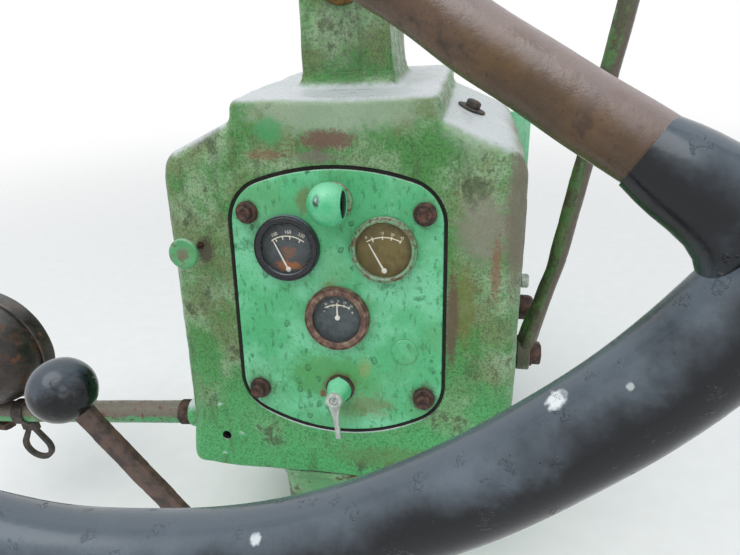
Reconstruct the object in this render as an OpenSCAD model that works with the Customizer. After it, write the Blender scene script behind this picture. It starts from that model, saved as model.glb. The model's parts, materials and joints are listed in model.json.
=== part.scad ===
// Steering and instrument pedestal of a vintage row-crop tractor
// Millimetres. The origin is the middle of the foot's underside.
// +X is the driver's right, +Y is forward, away from the driver, +Z is up.

/* [Housing] */
// Width of the cast housing under its shoulders
head_w = 326; // [312:1:340]
// Width of the housing near its bottom edge
head_low_w = 317; // [308:1:324]
// Height of the housing's bottom edge above the foot's underside
head_bottom = 140; // [136:1:148]
// Height of the flat platform on top of the housing
platform_z = 494; // [486:1:506]
// Width of the raised platform
platform_w = 183; // [150:1:190]
// Height of the shoulders where they meet the platform's step
shoulder_z = 476; // [471:1:481]
// Slope of the shoulders in degrees
shoulder_slope = 24; // [18:1:28]
// Radius between shoulder and side
shoulder_r = 30; // [20:1:36]
// Radius of the upright front corners
corner_r = 22; // [12:1:28]
// Distance of the forward edge from the foot's centre
head_back = 235; // [215:1:260]
// Wall thickness of the sides, top and bottom
head_wall = 7; // [5:0.5:8]
// Thickness of the front wall
face_t = 10; // [8:0.5:14]
// Lean of the front face in degrees, top away from the driver
tilt = 10; // [6:1:13]

/* [Instrument panel] */
// Height of the panel's centre above the foot's underside
panel_z = 316; // [312:1:320]
// Distance of the panel's centre from the foot's centre, towards the driver
panel_out = 26; // [20:1:30]
// Panel width
panel_w = 190; // [184:1:196]
// Panel centre to the crown of its top edge
panel_top = 123; // [120:1:126]
// Panel centre to the lowest point of its bottom edge
panel_bottom = 125; // [122:1:129]
// Radius of the top edge
panel_top_r = 213; // [190:1:260]
// Radius of the bottom edge
panel_bottom_r = 160; // [150:1:200]
// Radius of the panel's corners
panel_corner_r = 38; // [30:1:44]
// Panel thickness
panel_t = 4; // [3:0.5:5]
// Gap round the panel
panel_gap = 3; // [2:0.5:4]
// Width of the seat behind the panel's edge
seat_w = 12; // [10:0.5:12]
// Panel face below the housing's face
panel_sink = 0.5; // [0.5:0.5:1.5]
// Screw place from the panel's centre, across
screw_x = 79; // [78:0.5:80]
// Screw place from the panel's centre, up and down
screw_z = 85.4; // [84:0.2:87]
// Screw thread diameter
screw_d = 6; // [5:0.5:7]
// Screw flange diameter
screw_flange_d = 20; // [17:0.5:21]

/* [Gauges] */
// Bezel diameter
bezel_d = 60; // [58:0.5:61]
// Bezel height in front of the panel
bezel_h = 6.5; // [5.5:0.5:8]
// Window diameter
window_d = 47; // [44:0.5:49]
// Can diameter behind the panel
can_d = 52; // [51.5:0.5:53.5]
// Can length behind the panel's face
can_len = 38; // [28:1:60]
// Upper gauges from the panel's centre, across
gauge_x = 43.6; // [42:0.2:46]
// Upper gauges above the panel's centre
gauge_z = 54; // [52:0.5:55]
// Ammeter below the panel's centre
ammeter_z = 10.5; // [8:0.5:12]

/* [Dash controls] */
// Dash lamp above the panel's centre
dash_lamp_z = 95.5; // [94:0.5:97]
// Dash lamp hood diameter
dash_lamp_d = 37; // [35:0.5:39]
// Dash lamp base diameter
dash_lamp_base_d = 34; // [30:0.5:36]
// Light switch below the panel's centre
switch_z = 81; // [76:0.5:84]
// Light switch collar diameter
switch_d = 27; // [22:0.5:28]
// Length of the switch's hanging lever
switch_lever_len = 38; // [34:1:46]
// Blank plug from the panel's centre, across
plug_x = 61; // [59:0.5:63]
// Blank plug below the panel's centre
plug_z = 41; // [36:0.5:44]
// Blank plug diameter
plug_d = 24; // [20:0.5:26]
// Pull knob from the housing's left side
pull_edge = 36; // [34:0.5:40]
// Pull knob above the panel's centre
pull_z = 54; // [40:0.5:70]
// Pull rod diameter
pull_rod_d = 5; // [4:0.5:6]
// Reach of the pull rod in front of the face
pull_reach = 34; // [22:0.5:40]
// Pull knob diameter
pull_knob_d = 26.5; // [20:0.5:28]
// Spare hole from the housing's left side
spare_edge = 43.5; // [41:0.5:47]
// Spare hole below the panel's centre
spare_z = 142; // [138:0.5:145]
// Spare hole diameter
spare_d = 9.5; // [7:0.5:11]

/* [Neck] */
// Neck centre right of the foot's centre
neck_x = 3; // [0:1:6]
// Neck width at the platform
neck_w = 86; // [80:1:96]
// Neck width at the shaft
neck_top_w = 76; // [70:1:80]
// Front of the neck from the foot's centre
neck_front = 62; // [50:1:70]
// Length of the neck, front to back
neck_len = 104; // [90:1:120]
// Height of the flared skirt round the neck
skirt_h = 12; // [8:1:16]
// How far the skirt flares at the platform
skirt_flare = 13; // [8:1:16]

/* [Steering] */
// Wheel centre from the foot's centre, towards the driver
wheel_out = 338; // [300:1:360]
// Height of the wheel's centre
wheel_z = 632; // [626:1:636]
// Rise of the shaft towards the driver, degrees
shaft_rise = 7; // [6:0.5:8]
// Radius to the middle of the rim
wheel_r = 212; // [190:1:225]
// Rim thickness
rim_d = 24; // [20:0.5:30]
// Number of spokes
spoke_count = 3; // [3:1:5]
// Spoke diameter
spoke_d = 16; // [12:0.5:18]
// Turn of the wheel at rest, degrees clockwise
wheel_turn = 4; // [0:1:30]
// Depth of the hub in front of the rim
dish = 60; // [40:1:80]
// Hub diameter
hub_d = 46; // [42:1:60]
// Hub length
hub_len = 50; // [40:1:60]
// Shaft diameter
shaft_d = 22; // [18:0.5:24]
// Running clearance of the shaft in its bush, on the radius
shaft_clear = 0.05; // [0.02:0.01:0.1]
// Reach of the shaft past the neck
shaft_tail = 62; // [40:1:90]
// Cross hole for the coupling pin
tail_hole_d = 8; // [5:0.5:9]
// Outside diameter of the bush
bush_d = 30; // [28:0.5:34]
// Bush flange diameter
bush_flange_d = 44; // [38:0.5:50]
// Bush flange thickness
bush_flange_t = 4; // [3:0.5:6]

/* [Stem and foot] */
// Stem width
stem_w = 132; // [124:1:140]
// Stem depth
stem_d = 100; // [90:1:106]
// Stem corner radius
stem_r = 14; // [8:1:20]
// Stem wall
stem_wall = 9; // [6:0.5:12]
// Flange thickness at the top of the stem
stem_flange_t = 8; // [6:0.5:12]
// Overhang of the top flange
stem_flange_out = 2; // [2:0.5:6]
// Gasket thickness
gasket_t = 2; // [1:0.5:3]
// Foot width
foot_w = 184; // [176:1:200]
// Foot depth
foot_d = 156; // [150:1:170]
// Foot thickness
foot_t = 14; // [10:1:18]
// Foot bolt spacing across
foot_bolt_x = 152; // [148:1:156]
// Foot bolt spacing front to back
foot_bolt_y = 120; // [116:1:124]
// Foot bolt hole diameter
foot_hole_d = 13.5; // [11:0.5:15]

/* [Cowl plate] */
// Plate thickness
cowl_t = 3; // [2:0.5:5]
// How far the plate stands out past the housing
cowl_out = 19; // [10:1:24]
// Height of the plate's upper corners
cowl_top = 440; // [425:1:450]

/* [Lamp arm] */
// Height of the pipe where it leaves the housing
pipe_z = 173.5; // [170:0.5:180]
// Pipe centre from the foot's centre, towards the driver
pipe_out = 15; // [8:1:18]
// Droop of the pipe in degrees
pipe_droop = 5; // [0:0.5:6]
// Pipe outside diameter
pipe_d = 24.5; // [21:0.5:27]
// How far the pipe reaches past the lamp's foot
pipe_past = 23; // [16:1:40]
// Lamp centre from the foot's centre, across
lamp_x = 421; // [410:1:428]
// Lamp rim diameter
lamp_d = 140; // [130:1:144]
// Depth of the lamp's bowl
lamp_depth = 66; // [54:1:75]
// Clip place on the pipe, inwards from the lamp
clip_in = 32; // [27:1:36]

/* [Hand lever] */
// Height of the hand lever's pivot
lever_z = 222; // [212:1:232]
// Pivot in front of the foot's centre
lever_y = 60; // [50:1:80]
// Pivot pin diameter
lever_pin_d = 14; // [12:0.5:16]
// Side of the lever's square bar
lever_bar = 13; // [10:0.5:14]
// Lean of the lower part, degrees to the right
lever_lean_low = 14; // [11:0.5:16]
// Lean of the upper part, degrees to the right
lever_lean = 8.5; // [7:0.5:10]
// Length of the lower part
lever_low_len = 106; // [96:1:116]
// Length of the upper part
lever_up_len = 305; // [270:1:330]
// Length of the grip
grip_len = 82; // [60:1:110]
// Grip diameter
grip_d = 21; // [18:0.5:26]

/* [Shift lever] */
// Plane of the shift lever from the foot's centre, towards the driver
shift_out = 170; // [160:1:180]
// Pivot left of the foot's centre
shift_x = 20; // [10:1:30]
// Pivot height
shift_z = 60; // [52:1:66]
// Lean of the lever at rest, degrees to the left
shift_lean = 30.7; // [20:0.1:36]
// Pivot to the middle of the knob
shift_len = 300; // [280:1:310]
// Bar width
shift_bar_w = 18; // [16:0.5:22]
// Bar thickness
shift_bar_t = 7; // [6:0.5:10]
// Knob diameter
shift_knob_d = 48; // [42:0.5:52]
// Pivot pin diameter
shift_pin_d = 12; // [10:0.5:12]

/* [Hidden] */
$fn = 64;

half_w = head_w / 2;
low_half = head_low_w / 2;
step_x = platform_w / 2;
step_fillet = 8;
platform_r = 9;
lip_y = panel_sink + panel_t;

// Steps in an arc of the given radius and sweep
function arc_steps(r, sweep) = max(3, ceil(abs(sweep) * r / 260));
// Points on an arc: centre x, centre y, radius, first and last angle
function arc(cx, cy, r, a, b) = [
    for (i = [0:arc_steps(r, b - a)])
        let (t = a + (b - a) * i / arc_steps(r, b - a)) [cx + r * cos(t), cy + r * sin(t)]
];
function mirrored(pts) = [for (i = [len(pts) - 1:-1:0]) [-pts[i][0], pts[i][1]]];

bottom_r = 10;
// Longer than any piece that it cuts
far = 2 * head_w;

// Housing seen from the driver, with its edge moved inwards by w
shoulder_x = half_w - shoulder_r;
shoulder_cz = shoulder_z - (shoulder_x + shoulder_r * sin(shoulder_slope) - step_x) * tan(shoulder_slope)
    - shoulder_r * cos(shoulder_slope);
foot_cx = step_x + step_fillet;
foot_cz = shoulder_z - step_fillet * tan(shoulder_slope) + step_fillet / cos(shoulder_slope);
function head_half(w) = concat(
    arc(low_half - bottom_r, head_bottom + bottom_r, max(bottom_r - w, 1.5), 270, 360),
    arc(shoulder_x, shoulder_cz, shoulder_r - w, 0, 90 - shoulder_slope),
    arc(foot_cx, foot_cz, step_fillet + w, 270 - shoulder_slope, 180),
    arc(step_x - platform_r, platform_z - platform_r, max(platform_r - w, 1.5), 0, 90)
);
function head_outline(w) = concat(head_half(w), mirrored(head_half(w)));
// The sides lean outwards between the lower corner and the shoulder
side_rise = shoulder_cz - head_bottom - bottom_r;
side_lean = (half_w - low_half) / side_rise;
function side_at(z) = low_half + side_lean * (z - head_bottom - bottom_r);
// Places on the right side, +Z standing out of it
module on_side(y, z) {
    translate([side_at(z), y, z]) rotate([0, 90 + atan(side_lean), 0]) children();
}

// Panel edge, with the edge moved outwards by g
panel_cx = panel_w / 2 - panel_corner_r;
top_cz = panel_top - panel_top_r;
bottom_cz = panel_bottom_r - panel_bottom;
corner_top_z = top_cz + sqrt(pow(panel_top_r - panel_corner_r, 2) - pow(panel_cx, 2));
corner_bottom_z = bottom_cz - sqrt(pow(panel_bottom_r - panel_corner_r, 2) - pow(panel_cx, 2));
top_a = atan2(corner_top_z - top_cz, panel_cx);
bottom_a = atan2(bottom_cz - corner_bottom_z, panel_cx);
function panel_half(g) = concat(
    arc(0, bottom_cz, panel_bottom_r + g, 270, 359.9 - bottom_a),
    arc(panel_cx, corner_bottom_z, panel_corner_r + g, 360 - bottom_a, 360),
    arc(panel_cx, corner_top_z, panel_corner_r + g, 0, top_a),
    arc(0, top_cz, panel_top_r + g, top_a + 0.1, 90)
);
function without_ends(pts) = [for (i = [1:len(pts) - 2]) pts[i]];
function panel_edge(g) = concat(panel_half(g), without_ends(mirrored(panel_half(g))));

// Places on the leaning face: x, height and depth behind the face
module on_panel(x = 0, z = 0, y = 0) {
    translate([0, -panel_out, panel_z]) rotate([-tilt, 0, 0]) translate([x, y, z]) children();
}
// The same place with +Z standing out of the face
module on_face(x = 0, z = 0) {
    on_panel(x, z) rotate([90, 0, 0]) children();
}
// A profile drawn as the driver sees it, carried from y0 to y1
module along_y(y0, y1) {
    translate([0, y1, 0]) rotate([90, 0, 0]) linear_extrude(y1 - y0) children();
}
// A profile drawn in Y and Z, carried from x0 to x1
module along_x(x0, x1) {
    translate([x0, 0, 0]) rotate([90, 0, 90]) linear_extrude(x1 - x0) children();
}
module hexagon(across, h) {
    cylinder(d = across / cos(30), h = h, $fn = 6);
}
module ring(d, bore, h) {
    difference() {
        cylinder(d = d, h = h);
        translate([0, 0, -1]) cylinder(d = bore, h = h + 2);
    }
}
module rounded_plate(w, d, r, h) {
    linear_extrude(h) union() {
        square([w, d - 2 * r], center = true);
        square([w - 2 * r, d], center = true);
        for (x = [-1, 1], y = [-1, 1]) translate([x * (w / 2 - r), y * (d / 2 - r)]) circle(r);
    }
}
// Inside of the stem, from the foot up into the housing
module stem_passage(h) {
    rounded_plate(stem_w - 2 * stem_wall, stem_d - 2 * stem_wall, stem_r / 2, h);
}
// Wheel axis: origin at the rim's centre, +Z towards the driver
module on_axis(z = 0) {
    translate([neck_x, -wheel_out, wheel_z]) rotate([90 - shaft_rise, 0, 0]) translate([0, 0, z]) children();
}
// Distance along the axis from the rim's centre to a given y
function axis_at(y) = -(y + wheel_out) / cos(shaft_rise);
// Height of the axis at a given y
function axis_z(y) = wheel_z - (y + wheel_out) * tan(shaft_rise);
pipe_root = side_at(pipe_z);
// Pipe axis: origin on the left side of the housing, +Z out along the pipe
module on_pipe(z = 0) {
    translate([-pipe_root, -pipe_out, pipe_z]) rotate([0, -90 - pipe_droop, 0])
        translate([0, 0, z]) children();
}
function pipe_top(x) = pipe_z - (x - pipe_root) * tan(pipe_droop);

// Housing
neck_mid = neck_front + neck_len / 2;
neck_back = neck_front + neck_len;
neck_axis_z = axis_z(neck_mid);
pipe_boss_d = pipe_d + 6;
pipe_boss_h = 14;
lever_boss_d = 42;
// Lugs of the seat that take the panel screws
screw_lug_d = 20;
lever_boss_h = 6.5;
lever_side = side_at(lever_z);
bump_d = 8;
bump_h = 2;
// Bumps: from the housing's left side, below the panel's centre
bumps = [[60, 142], [40, 111], [40, 165]];

// Everything behind the face and inside the rounded right corner, which follows the side
corner_lean = atan(side_lean * cos(tilt));
module corner_form(w) {
    on_panel(side_at(panel_z)) rotate([0, corner_lean, 0]) translate([0, 0, -far]) linear_extrude(2 * far)
        polygon(concat([[-2 * far, 2 * far], [-2 * far, w]],
            arc(-corner_r, corner_r, corner_r - w, 270, 360),
            [[corner_r, 2 * far]]));
}
module head_form(w, front) {
    intersection() {
        along_y(-head_back, head_back + (w > 0 ? 1 : 0)) polygon(head_outline(w));
        corner_form(w);
        mirror([1, 0, 0]) corner_form(w);
        on_panel() translate([-far, front, -far]) cube([2 * far, 2 * far, 2 * far]);
    }
}
module neck_block(low_w, low_z, top_w, top_z, low_out, top_out) {
    intersection() {
        along_y(neck_front - 40, neck_back + 40) translate([neck_x, 0]) polygon([
            [-low_w / 2, low_z], [low_w / 2, low_z], [top_w / 2, top_z], [-top_w / 2, top_z]
        ]);
        along_x(neck_x - neck_w, neck_x + neck_w) polygon([
            [neck_front - low_out, low_z], [neck_back + low_out, low_z],
            [neck_back + top_out, top_z], [neck_front - top_out, top_z]
        ]);
    }
}
module housing() color("#6f8a62") difference() {
    union() {
        head_form(0, 0);
        neck_block(neck_w, platform_z - head_wall, neck_top_w, neck_axis_z, 0, -4);
        neck_block(neck_w + 2 * skirt_flare, platform_z - 1, neck_w, platform_z + skirt_h, skirt_flare, 0);
        on_axis(axis_at(neck_back)) cylinder(d = neck_top_w, h = neck_len);
        on_pipe(-2) cylinder(d = pipe_boss_d, h = pipe_boss_h + 2);
        translate([lever_side - 2, lever_y, lever_z]) rotate([0, 90, 0])
            cylinder(d = lever_boss_d, h = lever_boss_h + 2);
        for (b = bumps) on_face(b[0] - half_w, -b[1])
            translate([0, 0, -1]) cylinder(d = bump_d, h = bump_h + 1);
    }
    head_form(head_wall, face_t);
    on_panel() along_y(-1, lip_y) polygon(panel_edge(panel_gap));
    on_panel() along_y(lip_y - 1, face_t + 1) difference() {
        polygon(panel_edge(-seat_w));
        for (x = [-1, 1], z = [-1, 1]) translate([x * screw_x, z * screw_z]) circle(d = screw_lug_d);
    }
    for (x = [-1, 1], z = [-1, 1]) on_face(x * screw_x, z * screw_z) {
        translate([0, 0, -face_t - 1]) cylinder(d = screw_d + 0.4, h = face_t);
    }
    on_face(spare_edge - half_w, -spare_z)
        translate([0, 0, -face_t - 1]) cylinder(d = spare_d, h = face_t + 2);
    on_face(pull_edge - half_w, pull_z) translate([0, 0, -60]) cylinder(d = pull_rod_d + 1, h = 62);
    on_axis(axis_at(neck_back) - 20) cylinder(d = bush_d, h = neck_len + 40);
    on_pipe(-20) cylinder(d = pipe_d, h = 40);
    translate([lever_side - 20, lever_y, lever_z]) rotate([0, 90, 0]) cylinder(d = lever_pin_d, h = 40);
    translate([0, 0, head_bottom - 1]) stem_passage(head_wall + 2);
}

// Stem, foot and gasket
stem_top = head_bottom - gasket_t;
module stem() color("#5f9a68") difference() {
    union() {
        rounded_plate(foot_w, foot_d, stem_r, foot_t);
        rounded_plate(stem_w, stem_d, stem_r, stem_top);
        translate([0, 0, stem_top - stem_flange_t])
            rounded_plate(stem_w + 2 * stem_flange_out, stem_d + 2 * stem_flange_out, stem_r, stem_flange_t);
    }
    translate([0, 0, -1]) stem_passage(stem_top + 2);
    for (x = [-1, 1], y = [-1, 1]) translate([x * foot_bolt_x / 2, y * foot_bolt_y / 2, -1])
        cylinder(d = foot_hole_d, h = foot_t + 2);
}
module stem_gasket() color("#3b2f22") translate([0, 0, stem_top]) difference() {
    rounded_plate(stem_w + 2 * stem_flange_out - 1, stem_d + 2 * stem_flange_out - 1, stem_r, gasket_t);
    translate([0, 0, -1]) stem_passage(gasket_t + 2);
}

// Plate on the forward side: it closes the housing and stands out past its sides
cowl_corner = 12;
cowl_half = half_w + cowl_out;
module cowl_plate() color("#7fd8a0") along_y(head_back, head_back + cowl_t) union() {
    polygon(head_outline(2));
    polygon([
        [-cowl_half, head_bottom], [cowl_half, head_bottom], [cowl_half, cowl_top - cowl_corner],
        [cowl_half - cowl_corner, cowl_top], [cowl_corner - cowl_half, cowl_top],
        [-cowl_half, cowl_top - cowl_corner]
    ]);
}

// Panel and its screws
module instrument_panel() color("#62c08a") difference() {
    on_panel() along_y(panel_sink, lip_y) polygon(panel_edge(0));
    for (g = gauges) on_face(g[0], g[1]) translate([0, 0, -20]) cylinder(d = can_d + 0.4, h = 40);
    for (x = [-1, 1], z = [-1, 1]) on_face(x * screw_x, z * screw_z)
        translate([0, 0, -20]) cylinder(d = screw_d + 0.4, h = 40);
    on_face(0, dash_lamp_z) translate([0, 0, -20]) cylinder(d = lamp_stud_d, h = 40);
    on_face(0, -switch_z) translate([0, 0, -20]) cylinder(d = switch_stud_d, h = 40);
    on_face(plug_x, -plug_z) translate([0, 0, -20]) cylinder(d = plug_d - 6, h = 40);
}
screw_flange_t = 5;
screw_head_h = 7;
screw_af = 13;
dimple_d = 8;
module panel_screws() color("#5a4034") for (x = [-1, 1], z = [-1, 1])
    on_face(x * screw_x, z * screw_z) translate([0, 0, -panel_sink]) difference() {
        union() {
            cylinder(d = screw_flange_d, h = screw_flange_t);
            hexagon(screw_af, screw_flange_t + screw_head_h);
            translate([0, 0, panel_sink - face_t - 3]) cylinder(d = screw_d, h = face_t + 3);
        }
        translate([0, 0, screw_flange_t + screw_head_h - 1.5]) cylinder(d = dimple_d, h = 3);
    }

// Gauges: across, up, bezel and window over or under the plain size, needle's pivot below the middle,
// its length, its tail, its turn to the left
gauges = [
    [-gauge_x, gauge_z, 0, -1, 20, 30, 0, 26],
    [gauge_x, gauge_z, -1.5, 2, 19, 27.5, 0, 29],
    [0, -ammeter_z, 0, -2.5, 0, 16, 3, 0]
];
function bezel_r(i) = (bezel_d + gauges[i][2]) / 2;
function window_r(i) = (window_d + gauges[i][3]) / 2;
glass_t = 1.4;
dial_t = 1;
lip_t = 1.8;
needle_w = 1.4;
needle_t = 0.7;
needle_hub_d = 4;
module gauge_case(i) on_face(gauges[i][0], gauges[i][1]) color("#1d1f20") rotate_extrude() polygon(concat(
    [[0, -can_len], [can_d / 2, -can_len], [can_d / 2, -panel_sink], [bezel_r(i), -panel_sink]],
    arc(bezel_r(i) - 3, bezel_h - 3, 3, 0, 90),
    [[window_r(i) + 1, bezel_h], [window_r(i), bezel_h - 1], [window_r(i), bezel_h - lip_t],
     [can_d / 2 - 1, bezel_h - lip_t], [can_d / 2 - 1, -dial_t], [0, -dial_t]]
));
module gauge_dial(i) on_face(gauges[i][0], gauges[i][1]) color("#3a4248")
    translate([0, 0, -dial_t]) cylinder(d = can_d - 2.4, h = dial_t);
module gauge_glass(i) on_face(gauges[i][0], gauges[i][1]) color("#c8d8dc")
    translate([0, 0, bezel_h - lip_t - glass_t]) cylinder(d = can_d - 2.4, h = glass_t);
// The upper gauges pivot low on the dial, the ammeter in its middle
module gauge_needle(i) on_face(gauges[i][0], gauges[i][1]) color("#e8e6dc")
    translate([0, -gauges[i][4], 0]) rotate([0, 0, gauges[i][7]]) {
        cylinder(d = needle_hub_d, h = 1.2);
        translate([-needle_w / 2, -gauges[i][6], 0.5])
            cube([needle_w, gauges[i][5] + gauges[i][6], needle_t]);
    }

// Dash lamp: a hollow ball whose opening is turned to the right, on a round base with a bulb socket
lamp_stud_d = 12;
hood_out = 17;
hood_wall = 1.5;
hood_cut = 12.5;
lamp_base_h = 3.5;
socket_d = 11;
socket_h = 14;
module dash_lamp_base() color("#4f9a70") on_face(0, dash_lamp_z) {
    translate([0, 0, -panel_sink]) cylinder(d = dash_lamp_base_d, h = lamp_base_h + panel_sink);
    translate([0, 0, -16]) cylinder(d = lamp_stud_d - 0.4, h = 16);
    cylinder(d = socket_d, h = socket_h);
}
module dash_lamp_hood() color("#57bd84") on_face(0, dash_lamp_z) difference() {
    translate([0, 0, hood_out]) sphere(d = dash_lamp_d);
    translate([0, 0, hood_out]) sphere(d = dash_lamp_d - 2 * hood_wall);
    translate([0, 0, lamp_base_h - dash_lamp_d]) cylinder(d = 2 * dash_lamp_d, h = dash_lamp_d);
    translate([hood_cut, -dash_lamp_d, -dash_lamp_d]) cube([dash_lamp_d, 2 * dash_lamp_d, 3 * dash_lamp_d]);
}

// Light switch: a tapered knob with a ridge on top and a flat handle hanging from its eye
switch_stud_d = 12;
switch_collar_h = 4;
switch_body_h = 20;
switch_ridge_out = 2;
switch_ridge_s = 9;
switch_eye_d = 15.5;
switch_eye_bore = 8;
switch_eye_t = 4;
switch_handle_w = 4.5;
switch_neck_h = 17;
switch_low = switch_collar_h - panel_sink;
switch_front = switch_low + switch_body_h;
switch_fall = atan2((switch_d - 3 - switch_eye_d) / 2 + switch_ridge_out, switch_body_h);
module switch_collar() color("#6a4a38") on_face(0, -switch_z) translate([0, 0, -panel_sink])
    ring(switch_d, switch_stud_d + 2, switch_collar_h);
module switch_body() color("#58b67e") on_face(0, -switch_z) {
    translate([0, 0, -16]) cylinder(d = switch_stud_d - 0.4, h = 16 + switch_low + 1);
    translate([0, 0, switch_low]) cylinder(d1 = switch_d - 3, d2 = switch_eye_d - 1, h = switch_body_h);
    difference() {
        translate([0, (switch_d - 3) / 2 + switch_ridge_out, switch_low])
            rotate([switch_fall, 0, 0]) rotate([0, 0, 45])
                translate([-switch_ridge_s, -switch_ridge_s, -switch_body_h])
                    cube([switch_ridge_s, switch_ridge_s, 3 * switch_body_h]);
        translate([-switch_d, -switch_d, switch_low - 2 * switch_body_h])
            cube([2 * switch_d, 2 * switch_d, 2 * switch_body_h]);
        translate([-switch_d, -switch_d, switch_front])
            cube([2 * switch_d, 2 * switch_d, 3 * switch_body_h]);
    }
}
switch_turn = 5;
module switch_lever() color("#9aa39a")
    on_face(0, -switch_z) translate([0, 0, switch_front]) rotate([0, 0, switch_turn]) {
        difference() {
            union() {
                cylinder(d = switch_eye_d, h = switch_eye_t);
                linear_extrude(switch_eye_t) polygon([
                    [-switch_eye_d / 2 + 0.8, -2.5], [switch_eye_d / 2 - 0.8, -2.5],
                    [switch_handle_w / 2, -switch_neck_h], [-switch_handle_w / 2, -switch_neck_h]
                ]);
            }
            translate([0, 0, -1]) cylinder(d = switch_eye_bore, h = switch_eye_t + 2);
        }
        translate([-switch_handle_w / 2, -switch_lever_len, 0])
            cube([switch_handle_w, switch_lever_len - switch_neck_h + 1, switch_eye_t - 0.4]);
    }
module switch_screw() color("#b9bcb4") on_face(0, -switch_z) translate([0, 0, switch_front]) difference() {
    cylinder(d = switch_eye_bore - 0.4, h = 2.6);
    translate([-5, -0.6, 1.6]) cube([10, 1.2, 3]);
}

// Blank plug, pull knob and shoulder bolt
module blank_plug() color("#57b07c") on_face(plug_x, -plug_z) {
    translate([0, 0, -panel_sink]) cylinder(d = plug_d, h = 1.2);
    translate([0, 0, -8]) cylinder(d = plug_d - 6.4, h = 8);
}
pull_knob_h = 7;
module pull_rod() color("#5b3b2a") on_face(pull_edge - half_w, pull_z)
    translate([0, 0, -50]) cylinder(d = pull_rod_d, h = 50 + pull_reach - pull_knob_h);
module pull_knob() color("#5fb487") on_face(pull_edge - half_w, pull_z)
    translate([0, 0, pull_reach - pull_knob_h]) rotate_extrude() polygon([
        [0, 0], [6, 0], [6, 1.5], [pull_knob_d / 2, 2.5], [pull_knob_d / 2, 6],
        [pull_knob_d / 2 - 1, pull_knob_h], [0, pull_knob_h]
    ]);
bolt_x = half_w - 49;
bolt_y = 106;
module shoulder_bolt() color("#3a3634")
    translate([bolt_x, bolt_y, shoulder_z - (bolt_x - step_x) * tan(shoulder_slope)])
        rotate([0, shoulder_slope, 0]) {
            cylinder(d = 28, h = 1.5);
            hexagon(13, 8);
        }

// Steering
rim_collar_len = 30;
rim_collar_d = 22;
socket_depth = 8;
spoke_angle = atan2(dish, wheel_r);
spoke_len = sqrt(pow(dish, 2) + pow(wheel_r, 2));
// Places a piece along a spoke, +Z from the hub to the rim
module on_spoke(i, along) {
    on_axis(-dish) rotate([0, 0, -wheel_turn - i * 360 / spoke_count])
        rotate([-90 + spoke_angle, 0, 0]) translate([0, 0, along]) children();
}
module wheel_rim() color("#151617") difference() {
    union() {
        on_axis() rotate_extrude($fn = 96) translate([wheel_r, 0]) circle(d = rim_d);
        for (i = [0:spoke_count - 1]) on_spoke(i, spoke_len - rim_collar_len)
            cylinder(d1 = spoke_d + 2.4, d2 = rim_collar_d, h = rim_collar_len);
    }
    for (i = [0:spoke_count - 1]) on_spoke(i, spoke_len - rim_collar_len - 5)
        cylinder(d = spoke_d + 0.2, h = rim_collar_len - rim_d / 2 + socket_depth + 5);
}
module wheel_spider() color("#4a3328") difference() {
    union() {
        on_axis(-dish - hub_len / 2) cylinder(d = hub_d, h = hub_len);
        for (i = [0:spoke_count - 1]) on_spoke(i, 0)
            cylinder(d = spoke_d, h = spoke_len - rim_d / 2 + socket_depth - 0.3);
    }
    on_axis(-dish - hub_len / 2 - 1) cylinder(d = shaft_d + 0.1, h = hub_len + 2);
}
bush_end = axis_at(neck_back) - bush_flange_t;
bush_len = neck_len + 2 * bush_flange_t;
shaft_end = bush_end - shaft_tail;
tail_len = shaft_tail - 12;
tail_d = shaft_d - 2;
tail_hole_in = 16;
hub_face = -dish + hub_len / 2;
nut_h = 16;
nut_af = shaft_d + 12;
thread_past = 4;
module steering_shaft() color("#4c4a46") difference() {
    union() {
        on_axis(shaft_end + tail_len)
            cylinder(d = shaft_d, h = hub_face + nut_h + thread_past - shaft_end - tail_len);
        on_axis(shaft_end) cylinder(d = tail_d, h = tail_len);
    }
    on_axis(shaft_end + tail_hole_in) rotate([0, 90, 0])
        translate([0, 0, -shaft_d]) cylinder(d = tail_hole_d, h = 2 * shaft_d);
}
module hub_nut() color("#57504a") on_axis(hub_face) difference() {
    hexagon(nut_af, nut_h);
    translate([0, 0, -1]) cylinder(d = shaft_d + 0.1, h = nut_h + 2);
}
// One profile turned about the shaft: bore, flange, body and flange
module shaft_bush() color("#8a6a3a") on_axis(bush_end) rotate_extrude() polygon([
    [shaft_d / 2 + shaft_clear, 0], [bush_flange_d / 2, 0], [bush_flange_d / 2, bush_flange_t],
    [bush_d / 2 - 0.05, bush_flange_t], [bush_d / 2 - 0.05, bush_len - bush_flange_t],
    [bush_flange_d / 2, bush_len - bush_flange_t], [bush_flange_d / 2, bush_len],
    [shaft_d / 2 + shaft_clear, bush_len]
]);

// Lamp arm
pipe_collar_h = 13;
pipe_collar_d = pipe_d + 2.5;
pipe_in = 14;
pipe_bore = pipe_d - 6;
pipe_len = (lamp_x - pipe_root) / cos(pipe_droop) + pipe_past;
lamp_rim_h = 18;
lamp_lip = 5;
lamp_gap = -5;
lamp_front = 16 - pipe_out;
lamp_z = pipe_top(lamp_x) + pipe_d / 2 + lamp_gap + lamp_d / 2;
bowl_r = lamp_d / 2 - lamp_lip;
bowl_wall = 2;
stud_d = 10;
stud_nut_h = 8.2;
saddle_h = 6;
module on_lamp() {
    translate([-lamp_x, lamp_front, lamp_z]) rotate([90, 0, 0]) children();
}
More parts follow.
